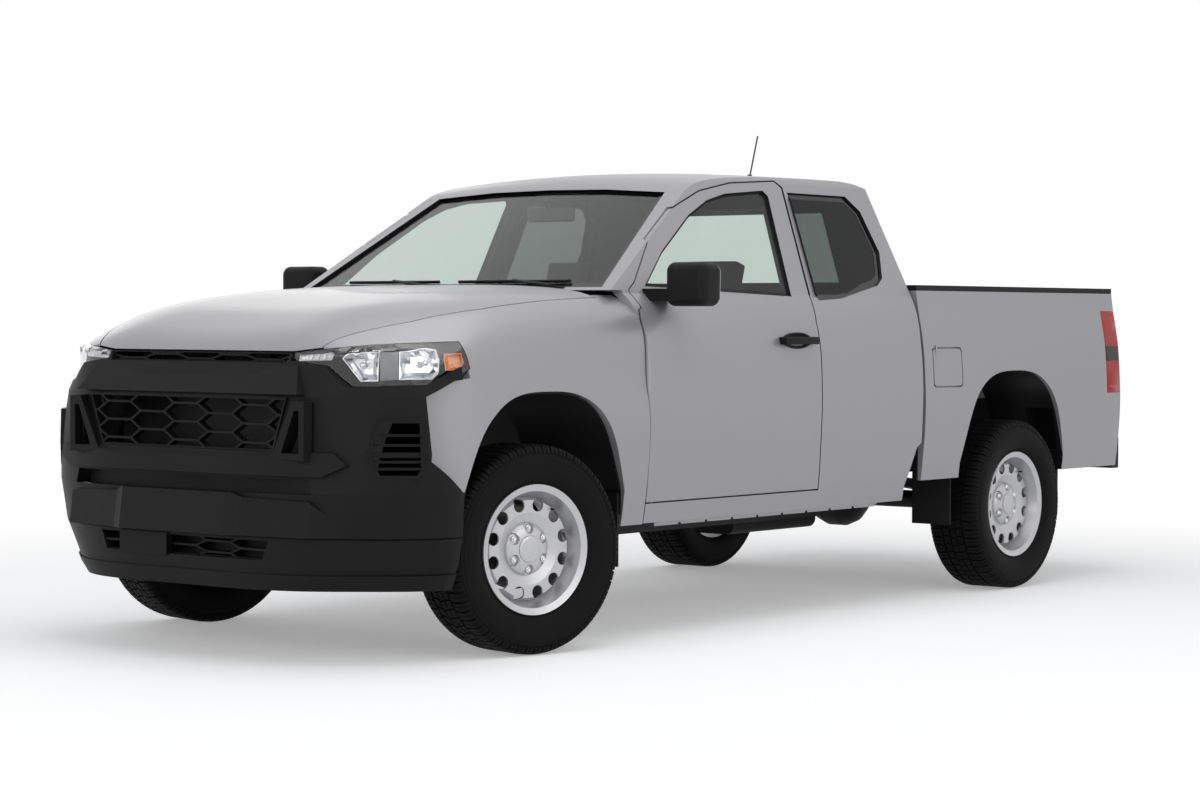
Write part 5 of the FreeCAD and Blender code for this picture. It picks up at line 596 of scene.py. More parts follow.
def bevel(piece, width, segments=2, angle=FACET_ANGLE):
    """Rounded edges where faces meet at more than an angle."""
    add_modifier(piece, "BEVEL", width=width, segments=segments, limit_method="ANGLE",
                 angle_limit=math.radians(angle))


def soften(piece, width, segments=2, angle=FACET_ANGLE):
    """Rounded edges and smooth shading."""
    bevel(piece, width, segments, angle)
    smooth(piece, angle)


def smooth(piece, angle=35):
    """Smooth shading up to an angle between faces."""
    pick(piece)
    bpy.ops.object.shade_smooth_by_angle(angle=math.radians(angle))


def joined(name, pieces):
    """One piece out of several."""
    unpick()
    for piece in pieces:
        piece.select_set(True)
    bpy.context.view_layer.objects.active = pieces[0]
    if len(pieces) > 1:
        bpy.ops.object.join()
    result = bpy.context.object
    result.name = name
    result.data.name = name
    return result


def copied(piece, name, matrix=None):
    """Copy with its own mesh, set in its place."""
    leave_edit()
    twin = piece.copy()
    twin.data = piece.data.copy()
    twin.name = name
    bpy.context.scene.collection.objects.link(twin)
    twin.hide_render = False
    twin.hide_viewport = False
    twin.hide_set(False)
    if matrix is not None:
        twin.data.transform(matrix)
        if matrix.determinant() < 0:
            twin.data.flip_normals()
    return twin


def mirror_copy(piece, name):
    """Copy on the truck's other side."""
    return copied(piece, name, Matrix.Diagonal((-1, 1, 1, 1)))


def remove(piece):
    """Takes away a piece that was only a pattern for copies."""
    leave_edit()
    bpy.data.objects.remove(piece)


def dress(piece, material, body="body", slot=None):
    """Finish of a piece, and the body that it rides on."""
    leave_edit()
    piece.data.materials.clear()
    piece.data.materials.append(material)
    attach(piece, body)
    return piece


def axle_place(x, y, z):
    """Point in metres from millimetres, with y counted back from the front axle."""
    return Vector((x / 1000, y / 1000 + FRONT_AXLE, z / 1000))


def plate(name, x, outline, reach):
    """Solid from an outline of (y, z) at x, pulled out along X, all in millimetres."""
    return draw_block(name, [axle_place(x, y, z) for y, z in outline], (reach / 1000, 0, 0))


def copy_of_node(name, copy_name):
    """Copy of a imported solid's surface, with its loose triangles merged."""
    twin = copied(nodes[name], copy_name)
    open_edit(twin)
    bpy.ops.mesh.remove_doubles(threshold=MERGE_GAP)
    leave_edit()
    return twin


# Wheels, in metres in a left wheel's own frame, with x along the axle

# Tyre, side and whether it is steered, for each wheel
WHEELS = {
    "wheel_front_left": ("tyre_front_left", 1, True), "wheel_front_right": ("tyre_front_right", -1, True),
    "wheel_rear_left": ("tyre_rear_left", 1, False), "wheel_rear_right": ("tyre_rear_right", -1, False)}
PITCHES = 60
TREAD_TOP = 0.3796
TREAD_ROOT = 0.369
TREAD_EDGE = 0.0005
TYRE_STEPS = 120
SIPE_HALF = 0.0006
SIPE_SHARE = 0.55
SIPES = 2
TREAD_RIBS = ((-0.014, 0.014, 0.22), (0.0185, 0.0475, 0.22), (-0.0475, -0.0185, -0.22))
TREAD_RIB_ENDS = (-0.0175, 0.015)
LUG_ENDS = ((-0.018, -0.0028), (-0.0008, 0.0145))
TYRE_SIDE = [(0.099, 0.2205), (0.0998, 0.2362), (0.103, 0.2432), (0.11, 0.252), (0.115, 0.257),
             (0.1158, 0.2605), (0.118, 0.264), (0.1225, 0.28), (0.1258, 0.298), (0.1266, 0.316),
             (0.126, 0.329), (0.1268, 0.33), (0.1266, 0.3325), (0.1252, 0.3335), (0.1232, 0.344),
             (0.124, 0.345), (0.1236, 0.3475), (0.1216, 0.349), (0.118, 0.359), (0.112, 0.3655),
             (0.102, 0.369), (0.06, 0.3715), (0.02, 0.3722)]
SHOULDER_LUG = [(0.056, 0.37), (0.056, 0.38), (0.08, 0.38), (0.099, 0.3788), (0.111, 0.3742),
                (0.119, 0.3672), (0.1222, 0.359), (0.1232, 0.351), (0.1205, 0.35), (0.106, 0.364)]


def wheel_place(side, steered):
    """Matrix from a left wheel's own frame, x along the axle, to its place on the truck."""
    turn = Matrix.Rotation(math.pi, 4, "Z") if side < 0 else Matrix.Identity(4)
    if not steered:
        return Matrix.Translation((side * HALF_TRACK, REAR_AXLE, HUB_HEIGHT)) @ turn
    kingpin = Matrix.Translation((side * KINGPIN, FRONT_AXLE, HUB_HEIGHT))
    steered_frame = kingpin @ Matrix.Rotation(REST_STEER, 4, "Z")
    return steered_frame @ Matrix.Translation((side * (HALF_TRACK - KINGPIN), 0, 0)) @ turn


def tread_block(x0, x1, slant):
    """One block of the tread over the wheel's top, with narrow sipes cut in from one side."""
    s0, s1 = TREAD_RIB_ENDS
    points = [(x0, s0 + slant * x0), (x1, s0 + slant * x1)]
    deep = x1 - (x1 - x0) * SIPE_SHARE
    for number in range(SIPES):
        s = s0 + (s1 - s0) * (number + 1) / (SIPES + 1)
        points += [(x1, s - SIPE_HALF + slant * x1), (deep, s - SIPE_HALF + slant * deep),
                   (deep, s + SIPE_HALF + slant * deep), (x1, s + SIPE_HALF + slant * x1)]
    points += [(x1, s1 + slant * x1), (x0, s1 + slant * x0)]
    return draw_block("block", [(x, s, TREAD_ROOT) for x, s in points], (0, 0, TREAD_TOP - TREAD_ROOT))


def tread_pitch():
    """One pitch of the pattern: centre rib, two middle ribs and two shoulders."""
    blocks = [tread_block(x0, x1, slant) for x0, x1, slant in TREAD_RIBS]
    for side in (1, -1):
        for start, end in LUG_ENDS:
            outline = [(side * x, start, radius) for x, radius in SHOULDER_LUG]
            blocks.append(draw_block("lug", outline, (0, end - start, 0)))
    return joined("tread_pitch", blocks)


def make_tyre():
    """Turned carcass with the pitches of the tread round it."""
    pitch = tread_pitch()
    soften(pitch, TREAD_EDGE, segments=1)
    open_edit(pitch)
    bpy.ops.mesh.spin(steps=PITCHES - 1, angle=math.tau * (PITCHES - 1) / PITCHES, center=(0, 0, 0),
                      axis=(1, 0, 0), dupli=True)
    leave_edit()
    side = TYRE_SIDE + [(-x, r) for x, r in reversed(TYRE_SIDE)]
    carcass = spun("carcass", side, steps=TYRE_STEPS, closed=True)
    smooth(carcass, TURNED_ANGLE)
    return joined("tyre", [carcass, pitch])


NUTS = 6
NUT_CIRCLE = 0.0765


def nut_places():
    """Places of the nuts round the axle."""
    turns = [math.tau * number / NUTS for number in range(NUTS)]
    return [Vector((0, math.sin(turn) * NUT_CIRCLE, math.cos(turn) * NUT_CIRCLE)) for turn in turns]


HUB_PROFILE = [(0.0462, 0.096), (0.049, 0.096), (0.053, 0.0945), (0.0565, 0.0915), (0.0595, 0.088),
               (0.0618, 0.0845), (0.0636, 0.081), (0.065, 0.0775), (0.0661, 0.074), (0.067, 0.0705),
               (0.0678, 0.067), (0.0685, 0.0635), (0.0691, 0.06), (0.0697, 0.056), (0.0701, 0.052),
               (0.0704, 0.049), (0.0462, 0.049)]
HUB_STEPS = 144
HUB_BACK = 0.047
SCALLOP_RADIUS = 0.017
SCALLOP_DEPTH = 0.012
CAP_PROFILE = [(0.0721, 0.0), (0.0742, 0.0), (0.0742, 0.038), (0.0734, 0.0425), (0.0726, 0.044),
               (0.0726, 0.0455), (0.0721, 0.047)]


def make_hub_cover():
    """Silver cover over the hub with a scallop for each nut and a plain round cap."""
    cover = spun("hub_cover", HUB_PROFILE, steps=HUB_STEPS, closed=True)
    open_edit(cover, "FACE")
    for centre in nut_places():

        def near(face):
            middle = face.calc_center_median()
            flat = Vector((0, middle.y, middle.z))
            return middle.x > HUB_BACK and (flat - centre).length < SCALLOP_RADIUS
        choose(cover, "FACE", near)
        bpy.ops.transform.translate(value=(-SCALLOP_DEPTH, 0, 0))
    leave_edit()
    smooth(cover, TURNED_ANGLE)
    cap = spun("cap", CAP_PROFILE)
    smooth(cap, TURNED_ANGLE)
    return joined("hub_cover", [cover, cap])


NUT_SIDES = 6
NUT_RADIUS = 0.0108
NUT_ROOT = 0.05
NUT_LENGTH = 0.013
DOME_EDGE = 0.0022
DOME_HEIGHT = 0.005
DOME_SHARE = 0.72


def make_nuts():
    """Domed, six-sided nuts."""
    corners = [math.tau * corner / NUT_SIDES for corner in range(NUT_SIDES)]
    outline = [(NUT_ROOT, NUT_RADIUS * math.sin(a), NUT_RADIUS * math.cos(a)) for a in corners]
    nut = draw_block("nut", outline, (NUT_LENGTH, 0, 0))
    open_edit(nut, "FACE")
    choose(nut, "FACE", lambda face: face.normal.x > FACING)
    bpy.ops.mesh.inset(thickness=DOME_EDGE)
    pull((DOME_HEIGHT, 0, 0))
    bpy.ops.transform.resize(value=(1, DOME_SHARE, DOME_SHARE))
    leave_edit()
    soften(nut, HAIR_EDGE)
    nuts = [copied(nut, "nut_copy", Matrix.Translation(place)) for place in nut_places()]
    remove(nut)
    return joined("wheel_nuts", nuts)


VALVE_PROFILE = [(0.06, 0.0), (0.06, 0.0045), (0.082, 0.004), (0.083, 0.0032), (0.098, 0.0032),
                 (0.099, 0.0025), (0.099, 0.0)]
VALVE_PLACE = (-0.018, 0.104, 0.14)
VALVE_STEPS = 16


def make_valve():
    """Valve stem that stands out through the wheel's disc."""
    stem = spun("valve_stem", VALVE_PROFILE, steps=VALVE_STEPS)
    stem.data.transform(Matrix.Translation(VALVE_PLACE))
    smooth(stem, TURNED_ANGLE)
    return stem


def make_wheels():
    """Dressed tyres, hub covers, nuts and valves on all four wheels."""
    tyre = make_tyre()
    cover = make_hub_cover()
    nuts = make_nuts()
    valve = make_valve()
    for body, (node, side, steered) in WHEELS.items():
        place = wheel_place(side, steered)
        word = body.removeprefix("wheel_")
        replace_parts(dress(copied(tyre, "treaded_tyre_" + word, place), TYRE, body, "tyre_rubber"), node)
        dress(copied(cover, "hub_cover_" + word, place), WHEEL_PAINT, body, "wheel_paint")
        dress(copied(nuts, "wheel_nuts_" + word, place), CHROME, body, "cast_metal")
        dress(copied(valve, "valve_" + word, place), BLACK_PLASTIC, body, "black_plastic")
    for piece in (tyre, cover, nuts, valve):
        remove(piece)


# Lamps, with outlines in millimetres behind the front axle

LAMP_IN = Vector((-0.55, 0.83, 0.0))
LENS_OUT = Vector((0.849, -0.528, 0))
OUTWARD_LEAST = 0.35
INNER_REFLECTOR = [(666, -753, 1074), (685, -744, 1092), (773, -678, 1098), (769, -681, 994),
                   (722, -720, 993)]
LAMP_DIVIDER = [(774, -677, 1098), (815, -628, 1098), (815, -628, 1000), (773, -677, 994)]
OUTER_REFLECTOR = [(817, -626, 1098), (850, -527, 1109), (870, -497, 1103), (894, -503, 1069),
                   (892, -505, 1022), (880, -523, 999), (816, -628, 1000)]
TURN_LAMP = [(892, -478, 1089), (921, -418, 1092), (924, -408, 1056), (923, -441, 1031), (904, -484, 1031)]
LIGHT_STRIP = [(498, -786, 1084), (641, -764, 1089), (633, -768, 1067), (497, -790, 1063)]
BOWL_GAP = 0.012
BOWL_RIM = 0.003
BOWL_WALL = 0.0012
BOWL_ROUND = 0.004
BOWL_TAPER = 0.9
# Name, outline, depth and bottom share of each bowl, and the depth of its bulb
BOWLS = (("inner_bowl", INNER_REFLECTOR, 0.06, 0.62, 0.06),
         ("outer_bowl", OUTER_REFLECTOR, 0.055, 0.66, 0.058))
# Points of a bulb, along it and as a share of its radius
BULB_PROFILE = [(0.0, 0.0), (0.0, 0.6), (0.012, 0.6), (0.016, 0.9), (0.022, 1.0), (0.03, 0.9),
                (0.036, 0.5), (0.038, 0.0)]
BULB_RADIUS = 0.011
BULB_STEPS = 24
LENS_WALL = 0.0025
HOUSING_WALL = 0.002
SMALL_LAMPS = 5
SMALL_LAMP_ENDS = (0.02, 0.03)
SMALL_LAMP_GAP = 0.01
SMALL_LAMP_DEPTH = 0.01
BAY_GAP = 0.006
BAY_DEPTH = 0.008
BAY_SHARE = 0.96
BAY_RIM = 0.0015
DIVIDER_GAP = 0.01
DIVIDER_DEPTH = 0.03
DIVIDER_EDGE = 0.003
TURN_GAP = 0.008
TURN_DEPTH = 0.02
TURN_SHARE = 0.8
BAND_EDGES = (0.905, 1.015, 1.025, 1.085, 1.095, 1.225)


def behind_lens(points, depth):
    """Points let in behind the lens by a depth."""
    return [axle_place(*point) + LAMP_IN * depth for point in points]


def tray(name, points, depth, shrink, rim=BOWL_RIM):
    """Open bowl let in behind the lens, narrower at its bottom."""
    piece = draw_face(name, points)
    bpy.ops.mesh.normals_make_consistent(inside=False)
    choose(piece, "FACE", lambda face: True)
    shape = bmesh.from_edit_mesh(piece.data)
    shape.normal_update()
    if sum(face.normal.dot(LAMP_IN) for face in shape.faces) > 0:
        bpy.ops.mesh.flip_normals()
    bpy.ops.mesh.inset(thickness=rim)
    for share in (BOWL_TAPER, shrink):
        pull(LAMP_IN * depth / 2)
        bpy.ops.transform.resize(value=(share, share, share))
    leave_edit()
    add_modifier(piece, "SOLIDIFY", thickness=BOWL_WALL, offset=-1)
    bevel(piece, BOWL_ROUND)
    smooth(piece, TURNED_ANGLE)
    return piece


def bulb(place):
    """Round bulb on a short neck."""
    profile = [(along, BULB_RADIUS * share) for along, share in BULB_PROFILE]
    piece = spun("bulb", profile, steps=BULB_STEPS)
    out = -LAMP_IN.normalized()
    across = Vector((0, 0, 1)).cross(out)
    turn = Matrix((out, across, Vector((0, 0, 1)))).transposed().to_4x4()
    piece.data.transform(Matrix.Translation(place) @ turn)
    smooth(piece, TURNED_ANGLE)
    return piece


def middle_of(points):
    """Middle of some corners."""
    return sum(points, Vector()) / len(points)


def outward(face):
    """Whether a face of a headlamp looks out to the front or the side."""
    side = 1 if face.calc_center_median().x > 0 else -1
    return face.normal.dot(Vector((side * LENS_OUT.x, LENS_OUT.y, LENS_OUT.z))) > OUTWARD_LEAST


def lamp_shell(name, left_out, wall):
    """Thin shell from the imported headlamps, without the faces that pass a test."""
    shell = copy_of_node("headlamps", name)
    open_edit(shell, "FACE")
    choose(shell, "FACE", left_out)
    bpy.ops.mesh.delete(type="FACE")
    leave_edit()
    add_modifier(shell, "SOLIDIFY", thickness=wall, offset=-1)
    smooth(shell, FACET_ANGLE)
    return shell


def running_lamps():
    """Bay beside the grille with a row of small lamps."""
    pieces = [tray("light_bay", behind_lens(LIGHT_STRIP, BAY_GAP), BAY_DEPTH, BAY_SHARE, BAY_RIM)]
    corners = behind_lens(LIGHT_STRIP, SMALL_LAMP_GAP)
    for number in range(SMALL_LAMPS):
        start = number / SMALL_LAMPS + SMALL_LAMP_ENDS[0]
        end = (number + 1) / SMALL_LAMPS - SMALL_LAMP_ENDS[1]
        outline = [corners[0].lerp(corners[1], start), corners[0].lerp(corners[1], end),
                   corners[3].lerp(corners[2], end), corners[3].lerp(corners[2], start)]
        block = draw_block("light_block", outline, LAMP_IN * SMALL_LAMP_DEPTH)
        soften(block, THIN_EDGE)
        pieces.append(block)
    return pieces


def make_headlamps():
    """Clear covers over dark housings, with two bright bowls, a turn lamp and a row of small lamps."""
    lens = lamp_shell("headlamp_covers", lambda face: not outward(face), LENS_WALL)
    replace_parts(dress(lens, CLEAR_LENS, slot="lamp_lens"), "headlamps")
    dress(lamp_shell("headlamp_housings", outward, HOUSING_WALL), GLOSS_BLACK, slot="gloss_black")
    bowls = [tray(name, behind_lens(outline, BOWL_GAP), depth, share)
             for name, outline, depth, share, _ in BOWLS]
    silver = running_lamps()
    divider = draw_block("divider", behind_lens(LAMP_DIVIDER, DIVIDER_GAP), LAMP_IN * DIVIDER_DEPTH)
    soften(divider, DIVIDER_EDGE)
    turn = tray("turn_lamp", behind_lens(TURN_LAMP, TURN_GAP), TURN_DEPTH, TURN_SHARE)
    bulbs = [bulb(middle_of(behind_lens(outline, depth))) for _, outline, _, _, depth in BOWLS]
    for word, pieces, material, slot in (("headlamp_bowls", bowls + bulbs, CHROME, "lamp_lens"),
                                         ("running_lamps", silver, LAMP_SILVER, "lamp_lens"),
                                         ("headlamp_dividers", [divider], LAMP_GREY, "gloss_black"),
                                         ("turn_lamps", [turn], AMBER, "lamp_lens")):
        left = joined(word + "_left", pieces)
        dress(mirror_copy(left, word + "_right"), material, slot=slot)
        dress(left, material, slot=slot)


def make_tail_lamps():
    """Cover of the tail lamps, cut across at the edges of the bands between the red fields and the dark
    one, with rounded edges.
    """
    lamp = copy_of_node("tail_lamps", "tail_lamp_covers")
    open_edit(lamp, "FACE")
    for height in BAND_EDGES:
        choose_all()
        bpy.ops.mesh.bisect(plane_co=(0, 0, height), plane_no=(0, 0, 1))
    leave_edit()
    soften(lamp, THIN_EDGE, angle=TURNED_ANGLE)
    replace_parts(dress(lamp, RED_LENS, slot="red_lens"), "tail_lamps")


# Windows

FLAT_ANGLE = math.radians(0.6)
BORDER_THICKNESS = 0.0008
WINDSHIELD_BORDER = 0.026
REAR_BORDER = 0.024
QUARTER_BORDER = 0.028
DOOR_SEAL = 0.014
PANE_TURN = 0.3
SIDE_TURN = 0.4
WINDSHIELD_END = 0.1
REAR_START = 0.2


def glass_rim(node, name, width, test, body="body", slot="gloss_black", material=GLOSS_BLACK):
    """Dark border printed on a pane, from the pane's own outer faces."""
    rim = copy_of_node(node, name)
    open_edit(rim, "FACE")
    choose(rim, "FACE", lambda face: not test(face))
    bpy.ops.mesh.delete(type="FACE")
    choose_all()
    bpy.ops.mesh.dissolve_limited(angle_limit=FLAT_ANGLE)
    choose_all()
    bpy.ops.mesh.inset(thickness=width, use_boundary=True)
    bpy.ops.mesh.delete(type="FACE")
    leave_edit()
    add_modifier(rim, "SOLIDIFY", thickness=BORDER_THICKNESS, offset=1)
    smooth(rim, FACET_ANGLE)
    return dress(rim, material, body, slot)


def make_window_rims():
    """Borders of the fixed panes and seals of the door windows."""
    def windshield(face):
        return face.normal.y < -PANE_TURN and face.calc_center_median().y < WINDSHIELD_END

    def rear_window(face):
        middle = face.calc_center_median()
        return face.normal.y > PANE_TURN and middle.y > REAR_START and abs(middle.x) < QUARTER_EDGE

    def quarter(face):
        middle = face.calc_center_median()
        return abs(middle.x) > QUARTER_EDGE and middle.y > 0.0 and face.normal.x * middle.x > SIDE_TURN

    glass_rim("fixed_glass", "windshield_border", WINDSHIELD_BORDER, windshield)
    glass_rim("fixed_glass", "rear_window_border", REAR_BORDER, rear_window)
    glass_rim("fixed_glass", "quarter_window_borders", QUARTER_BORDER, quarter)
    for word, side in SIDES:
        glass_rim("door_glass_" + word, "door_window_seal_" + word, DOOR_SEAL,
                  lambda face: face.normal.x * side > SIDE_TURN, "door_" + word, "black_plastic",
                  BLACK_PLASTIC)


# Cabin, with places in millimetres behind the front axle and sizes in metres

PIPING_SHARE = 0.06
CROWN_SHARES = (0.95, 0.9, 1)
CHANNEL_CUTS = (-0.012, -0.004, 0.004, 0.012)
CHANNEL_HALF = 0.0045
CHANNEL_SHARE = 0.8
CORNER_SHARE = 0.12
CORNER_ANGLE = 60
SEAT_MIDDLE = 385
# Name, size, place, lean, crown and sewn channels of each cushion
SEAT_PARTS = (("seat_base_", (0.5, 0.44, 0.105), (1348, 822), 0, 0.016, 2),
              ("seat_back_", (0.49, 0.42, 0.11), (1690, 1068), 73, 0.016, 2),
              ("headrest_", (0.25, 0.13, 0.07), (1806, 1386), 73, 0.008, 0))
BENCH_PARTS = (("rear_bench_base", (1.25, 0.27, 0.095), (2135, 838), 0, 0.014, 3),
               ("rear_bench_back", (1.25, 0.38, 0.1), (2368, 1066), 78, 0.014, 3))
POST_PROFILE = [(0, 0), (0, 0.006), (0.13, 0.006), (0.13, 0)]
POST_STEPS = 12
POST_SPACING = 60
POST_PLACE = (1772, 1255)
POST_LEAN = -17
PEDESTAL_EDGE = 0.008
PEDESTAL = [(1150, 561), (1540, 561), (1560, 620), (1560, 768), (1150, 768), (1130, 700)]
PEDESTAL_HALF = 215
BENCH_BOX = [(2010, 561), (2430, 561), (2438, 700), (2438, 788), (2010, 788)]
BENCH_HALF = 615


def cushion(name, x, size, place, lean, crown, channels):
    """Crowned cushion: a block, its face inset at the piping, parted by sewn channels and raised."""
    unpick()
    bpy.ops.mesh.primitive_cube_add(size=1, location=(0, 0, 0))
    piece = bpy.context.object
    piece.name = name
    open_edit(piece, "FACE")
    bpy.ops.transform.resize(value=size)
    shares = [(number + 1) / (channels + 1) - 0.5 for number in range(channels)]
    for share in shares:
        for cut in CHANNEL_CUTS:
            choose_all()
            bpy.ops.mesh.bisect(plane_co=(share * size[0] + cut, 0, 0), plane_no=(1, 0, 0))
    choose(piece, "FACE", lambda face: face.normal.z > FACING)
    bpy.ops.mesh.inset(thickness=min(size[0], size[1]) * PIPING_SHARE)
    pull((0, 0, crown))
    bpy.ops.transform.resize(value=CROWN_SHARES)

    def in_channel(face):
        along = face.calc_center_median().x
        return face.normal.z > FACING and any(
            abs(along - share * size[0] * CROWN_SHARES[0]) < CHANNEL_HALF for share in shares)
    choose(piece, "FACE", in_channel)
    bpy.ops.transform.translate(value=(0, 0, -crown * CHANNEL_SHARE))
    leave_edit()
    bevel(piece, min(size) * CORNER_SHARE, angle=CORNER_ANGLE)
    add_modifier(piece, "SUBSURF", levels=2, render_levels=2)
    piece.data.transform(Matrix.Translation(axle_place(x, *place))
                         @ Matrix.Rotation(math.radians(lean), 4, "X"))
    pick(piece)
    bpy.ops.object.shade_smooth()
    return piece


def seat_stands():
    """Headrest posts, a pedestal under each front seat and the box under the bench."""
    stands = []
    for x in (SEAT_MIDDLE, -SEAT_MIDDLE):
        for half in (-POST_SPACING, POST_SPACING):
            post = spun("headrest_post", POST_PROFILE, steps=POST_STEPS)
            post.data.transform(Matrix.Translation(axle_place(x + half, *POST_PLACE))
                                @ Matrix.Rotation(math.radians(POST_LEAN), 4, "X")
                                @ Matrix.Rotation(-math.pi / 2, 4, "Y"))
            stands.append(post)
        stands.append(plate("pedestal", x - PEDESTAL_HALF, PEDESTAL, PEDESTAL_HALF * 2))
    stands.append(plate("bench_box", -BENCH_HALF, BENCH_BOX, BENCH_HALF * 2))
    return stands


def make_seats():
    """Two front seats and the rear bench, as separate cushions on dark pedestals."""
    rows = (("left", SEAT_MIDDLE, SEAT_PARTS), ("right", -SEAT_MIDDLE, SEAT_PARTS), ("", 0, BENCH_PARTS))
    pieces = [cushion(name + word, x, *values) for word, x, parts in rows for name, *values in parts]
    pedestals = joined("seat_pedestals", seat_stands())
    soften(pedestals, PEDESTAL_EDGE, segments=3)
    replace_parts(dress(pedestals, TRIM, slot="cabin_plastic"), "seats")
    for piece in pieces:
        dress(piece, CLOTH, slot="seat_cloth")
        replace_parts(piece, "seats")


RIM_RADIUS = 0.159
RIM_HALF = 0.016
RIM_SIDES = 14
RIM_STEPS = 64
HORN_PROFILE = [(-0.045, 0), (-0.045, 0.044), (-0.012, 0.06), (0.006, 0.062), (0.014, 0.054),
                (0.017, 0.03), (0.017, 0)]
HORN_STEPS = 40
SPOKE_TURNS = (0.0, math.pi, math.pi * 1.5)
SPOKE_BACK = -0.012
SPOKE_THICKNESS = 0.014
SPOKE = [(0.045, -0.026), (0.148, -0.014), (0.148, 0.014), (0.045, 0.026)]
COLUMN_LEAN = math.radians(25)
COLUMN_END = (1010, 1120)
RIM_EDGE = 0.002


def make_steering_wheel():
    """Round rim on three spokes, with a padded middle."""
    turns = [math.tau * number / RIM_SIDES for number in range(RIM_SIDES)]
    ring = [(RIM_HALF * math.cos(turn), RIM_RADIUS + RIM_HALF * math.sin(turn)) for turn in turns]
    parts = [spun("rim", ring, steps=RIM_STEPS, closed=True),
             spun("horn_pad", HORN_PROFILE, steps=HORN_STEPS)]
    for turn in SPOKE_TURNS:
        out = Vector((0, math.cos(turn), math.sin(turn)))
        aside = Vector((0, -math.sin(turn), math.cos(turn)))
        outline = [out * radius + aside * half + Vector((SPOKE_BACK, 0, 0)) for radius, half in SPOKE]
        parts.append(draw_block("spoke", outline, (SPOKE_THICKNESS, 0, 0)))
    wheel = joined("round_steering_wheel", parts)
    rise, run = math.cos(COLUMN_LEAN), math.sin(COLUMN_LEAN)
    turn = Matrix(((0, -1, 0), (rise, 0, -run), (run, 0, rise))).to_4x4()
    wheel.data.transform(Matrix.Translation(axle_place(SEAT_MIDDLE, *COLUMN_END)) @ turn)
    soften(wheel, RIM_EDGE)
    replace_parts(dress(wheel, TRIM, "steering_wheel", "cabin_plastic"), "steering_wheel")


# Small trim, with places in millimetres behind the front axle and thicknesses in metres

GLASS_FOOT = [(0, 545, 1347), (200, 548, 1347), (400, 560, 1347), (600, 582, 1348)]
GLASS_UP = Vector((0, 0.86, 0.51))
GLASS_OUT = Vector((0, -0.51, 0.86))
COWL_EDGE = [(600, 508), (400, 474), (0, 460), (-400, 474), (-600, 508), (-610, 540), (-400, 530), (0, 526),
             (400, 530), (610, 540)]
COWL_TOP = 1334.3
COWL_THICKNESS = 0.003
COWL_ROUND = 0.0012
# Where each blade starts and ends, and where its arm turns
WIPERS = ((600, 60, 560), (-40, -560, -80))
BLADE_STEPS = 6
BLADE_WIDTH = 0.009
BLADE_GAP = 0.003
BLADE_HEIGHT = 0.011
ARM_HALF = Vector((0, 0.007, 0.004))
ARM_TAPER = 0.6
ARM_HEIGHT = 0.007
ARM_END = 0.004
ARM_LIFT = 0.012
PIVOT_PLACE = (517, 1338)
PIVOT_STEPS = 24
PIVOT_PROFILE = [(0, 0), (0, 0.016), (0.008, 0.015), (0.011, 0.01), (0.011, 0)]


def foot_point(x, up):
    """Point on the windshield near its foot, up its slope."""
    for (x0, y0, z0), (x1, y1, z1) in zip(GLASS_FOOT, GLASS_FOOT[1:]):
        if x0 <= abs(x) <= x1:
            share = (abs(x) - x0) / (x1 - x0)
            return axle_place(x, y0 + (y1 - y0) * share, z0 + (z1 - z0) * share) + GLASS_UP * up


def make_wipers():
    """Cowl cover and two wipers at the foot of the windshield."""
    outline = [axle_place(x, y, COWL_TOP) for x, y in COWL_EDGE]
    cover = draw_block("cowl_cover", outline, (0, 0, COWL_THICKNESS))
    soften(cover, COWL_ROUND)
    dress(cover, BLACK_PLASTIC, slot="black_plastic")
    parts = []
    for start, end, pivot in WIPERS:
        steps = [start + (end - start) * step / BLADE_STEPS for step in range(BLADE_STEPS + 1)]
        low = [foot_point(x, 0.000) + GLASS_OUT * BLADE_GAP for x in steps]
        high = [foot_point(x, BLADE_WIDTH) + GLASS_OUT * BLADE_GAP for x in reversed(steps)]
        blade = draw_block("wiper_blade", low + high, GLASS_OUT * BLADE_HEIGHT)
        middle = foot_point((start + end) / 2, ARM_END) + GLASS_OUT * ARM_LIFT
        root = axle_place(pivot, *PIVOT_PLACE)
        outline = [root - ARM_HALF, middle - ARM_HALF * ARM_TAPER,
                   middle + ARM_HALF * ARM_TAPER, root + ARM_HALF]
        arm = draw_block("wiper_arm", outline, (0, 0, ARM_HEIGHT))
        cap = spun("wiper_pivot", PIVOT_PROFILE, steps=PIVOT_STEPS)
        cap.data.transform(Matrix.Translation(root) @ Matrix.Rotation(-math.pi / 2, 4, "Y"))
        for piece in (blade, arm):
            soften(piece, THIN_EDGE)
        smooth(cap)
        parts += [blade, arm, cap]
    dress(joined("wipers", parts), BLACK_PLASTIC, slot="black_plastic")


HANDLE_MIDDLE = (1600, 1127)
CUP_RADII = (98, 33)
CUP_CORNERS = 32
CUP_BACK = 937
CUP_DEPTH = 20
CUP_RIMS = (0.006, 0.008)
CUP_HOLLOW = 0.007


def handle_cup(side):
    """Oval dish behind the door handle."""
    turns = [math.tau * corner / CUP_CORNERS for corner in range(CUP_CORNERS)]
    oval = [(HANDLE_MIDDLE[0] + CUP_RADII[0] * math.cos(turn),
             HANDLE_MIDDLE[1] + CUP_RADII[1] * math.sin(turn)) for turn in turns]
    cup = plate("handle_cup", side * CUP_BACK, oval, side * CUP_DEPTH)
    open_edit(cup, "FACE")
    choose(cup, "FACE", lambda face: face.normal.x * side > FACING)
    for rim in CUP_RIMS:
        bpy.ops.mesh.inset(thickness=rim)
    bpy.ops.transform.translate(value=(-side * CUP_HOLLOW, 0, 0))
    leave_edit()
    smooth(cup, FACET_ANGLE)
    return cup


MIRROR_FOOT = 1.2
MIRROR_ROUND = 0.014
HANDLE_ROUND = 0.006
FITTING_STEPS = 4
FITTING_ANGLE = 25
SAME_FACE = math.radians(1)


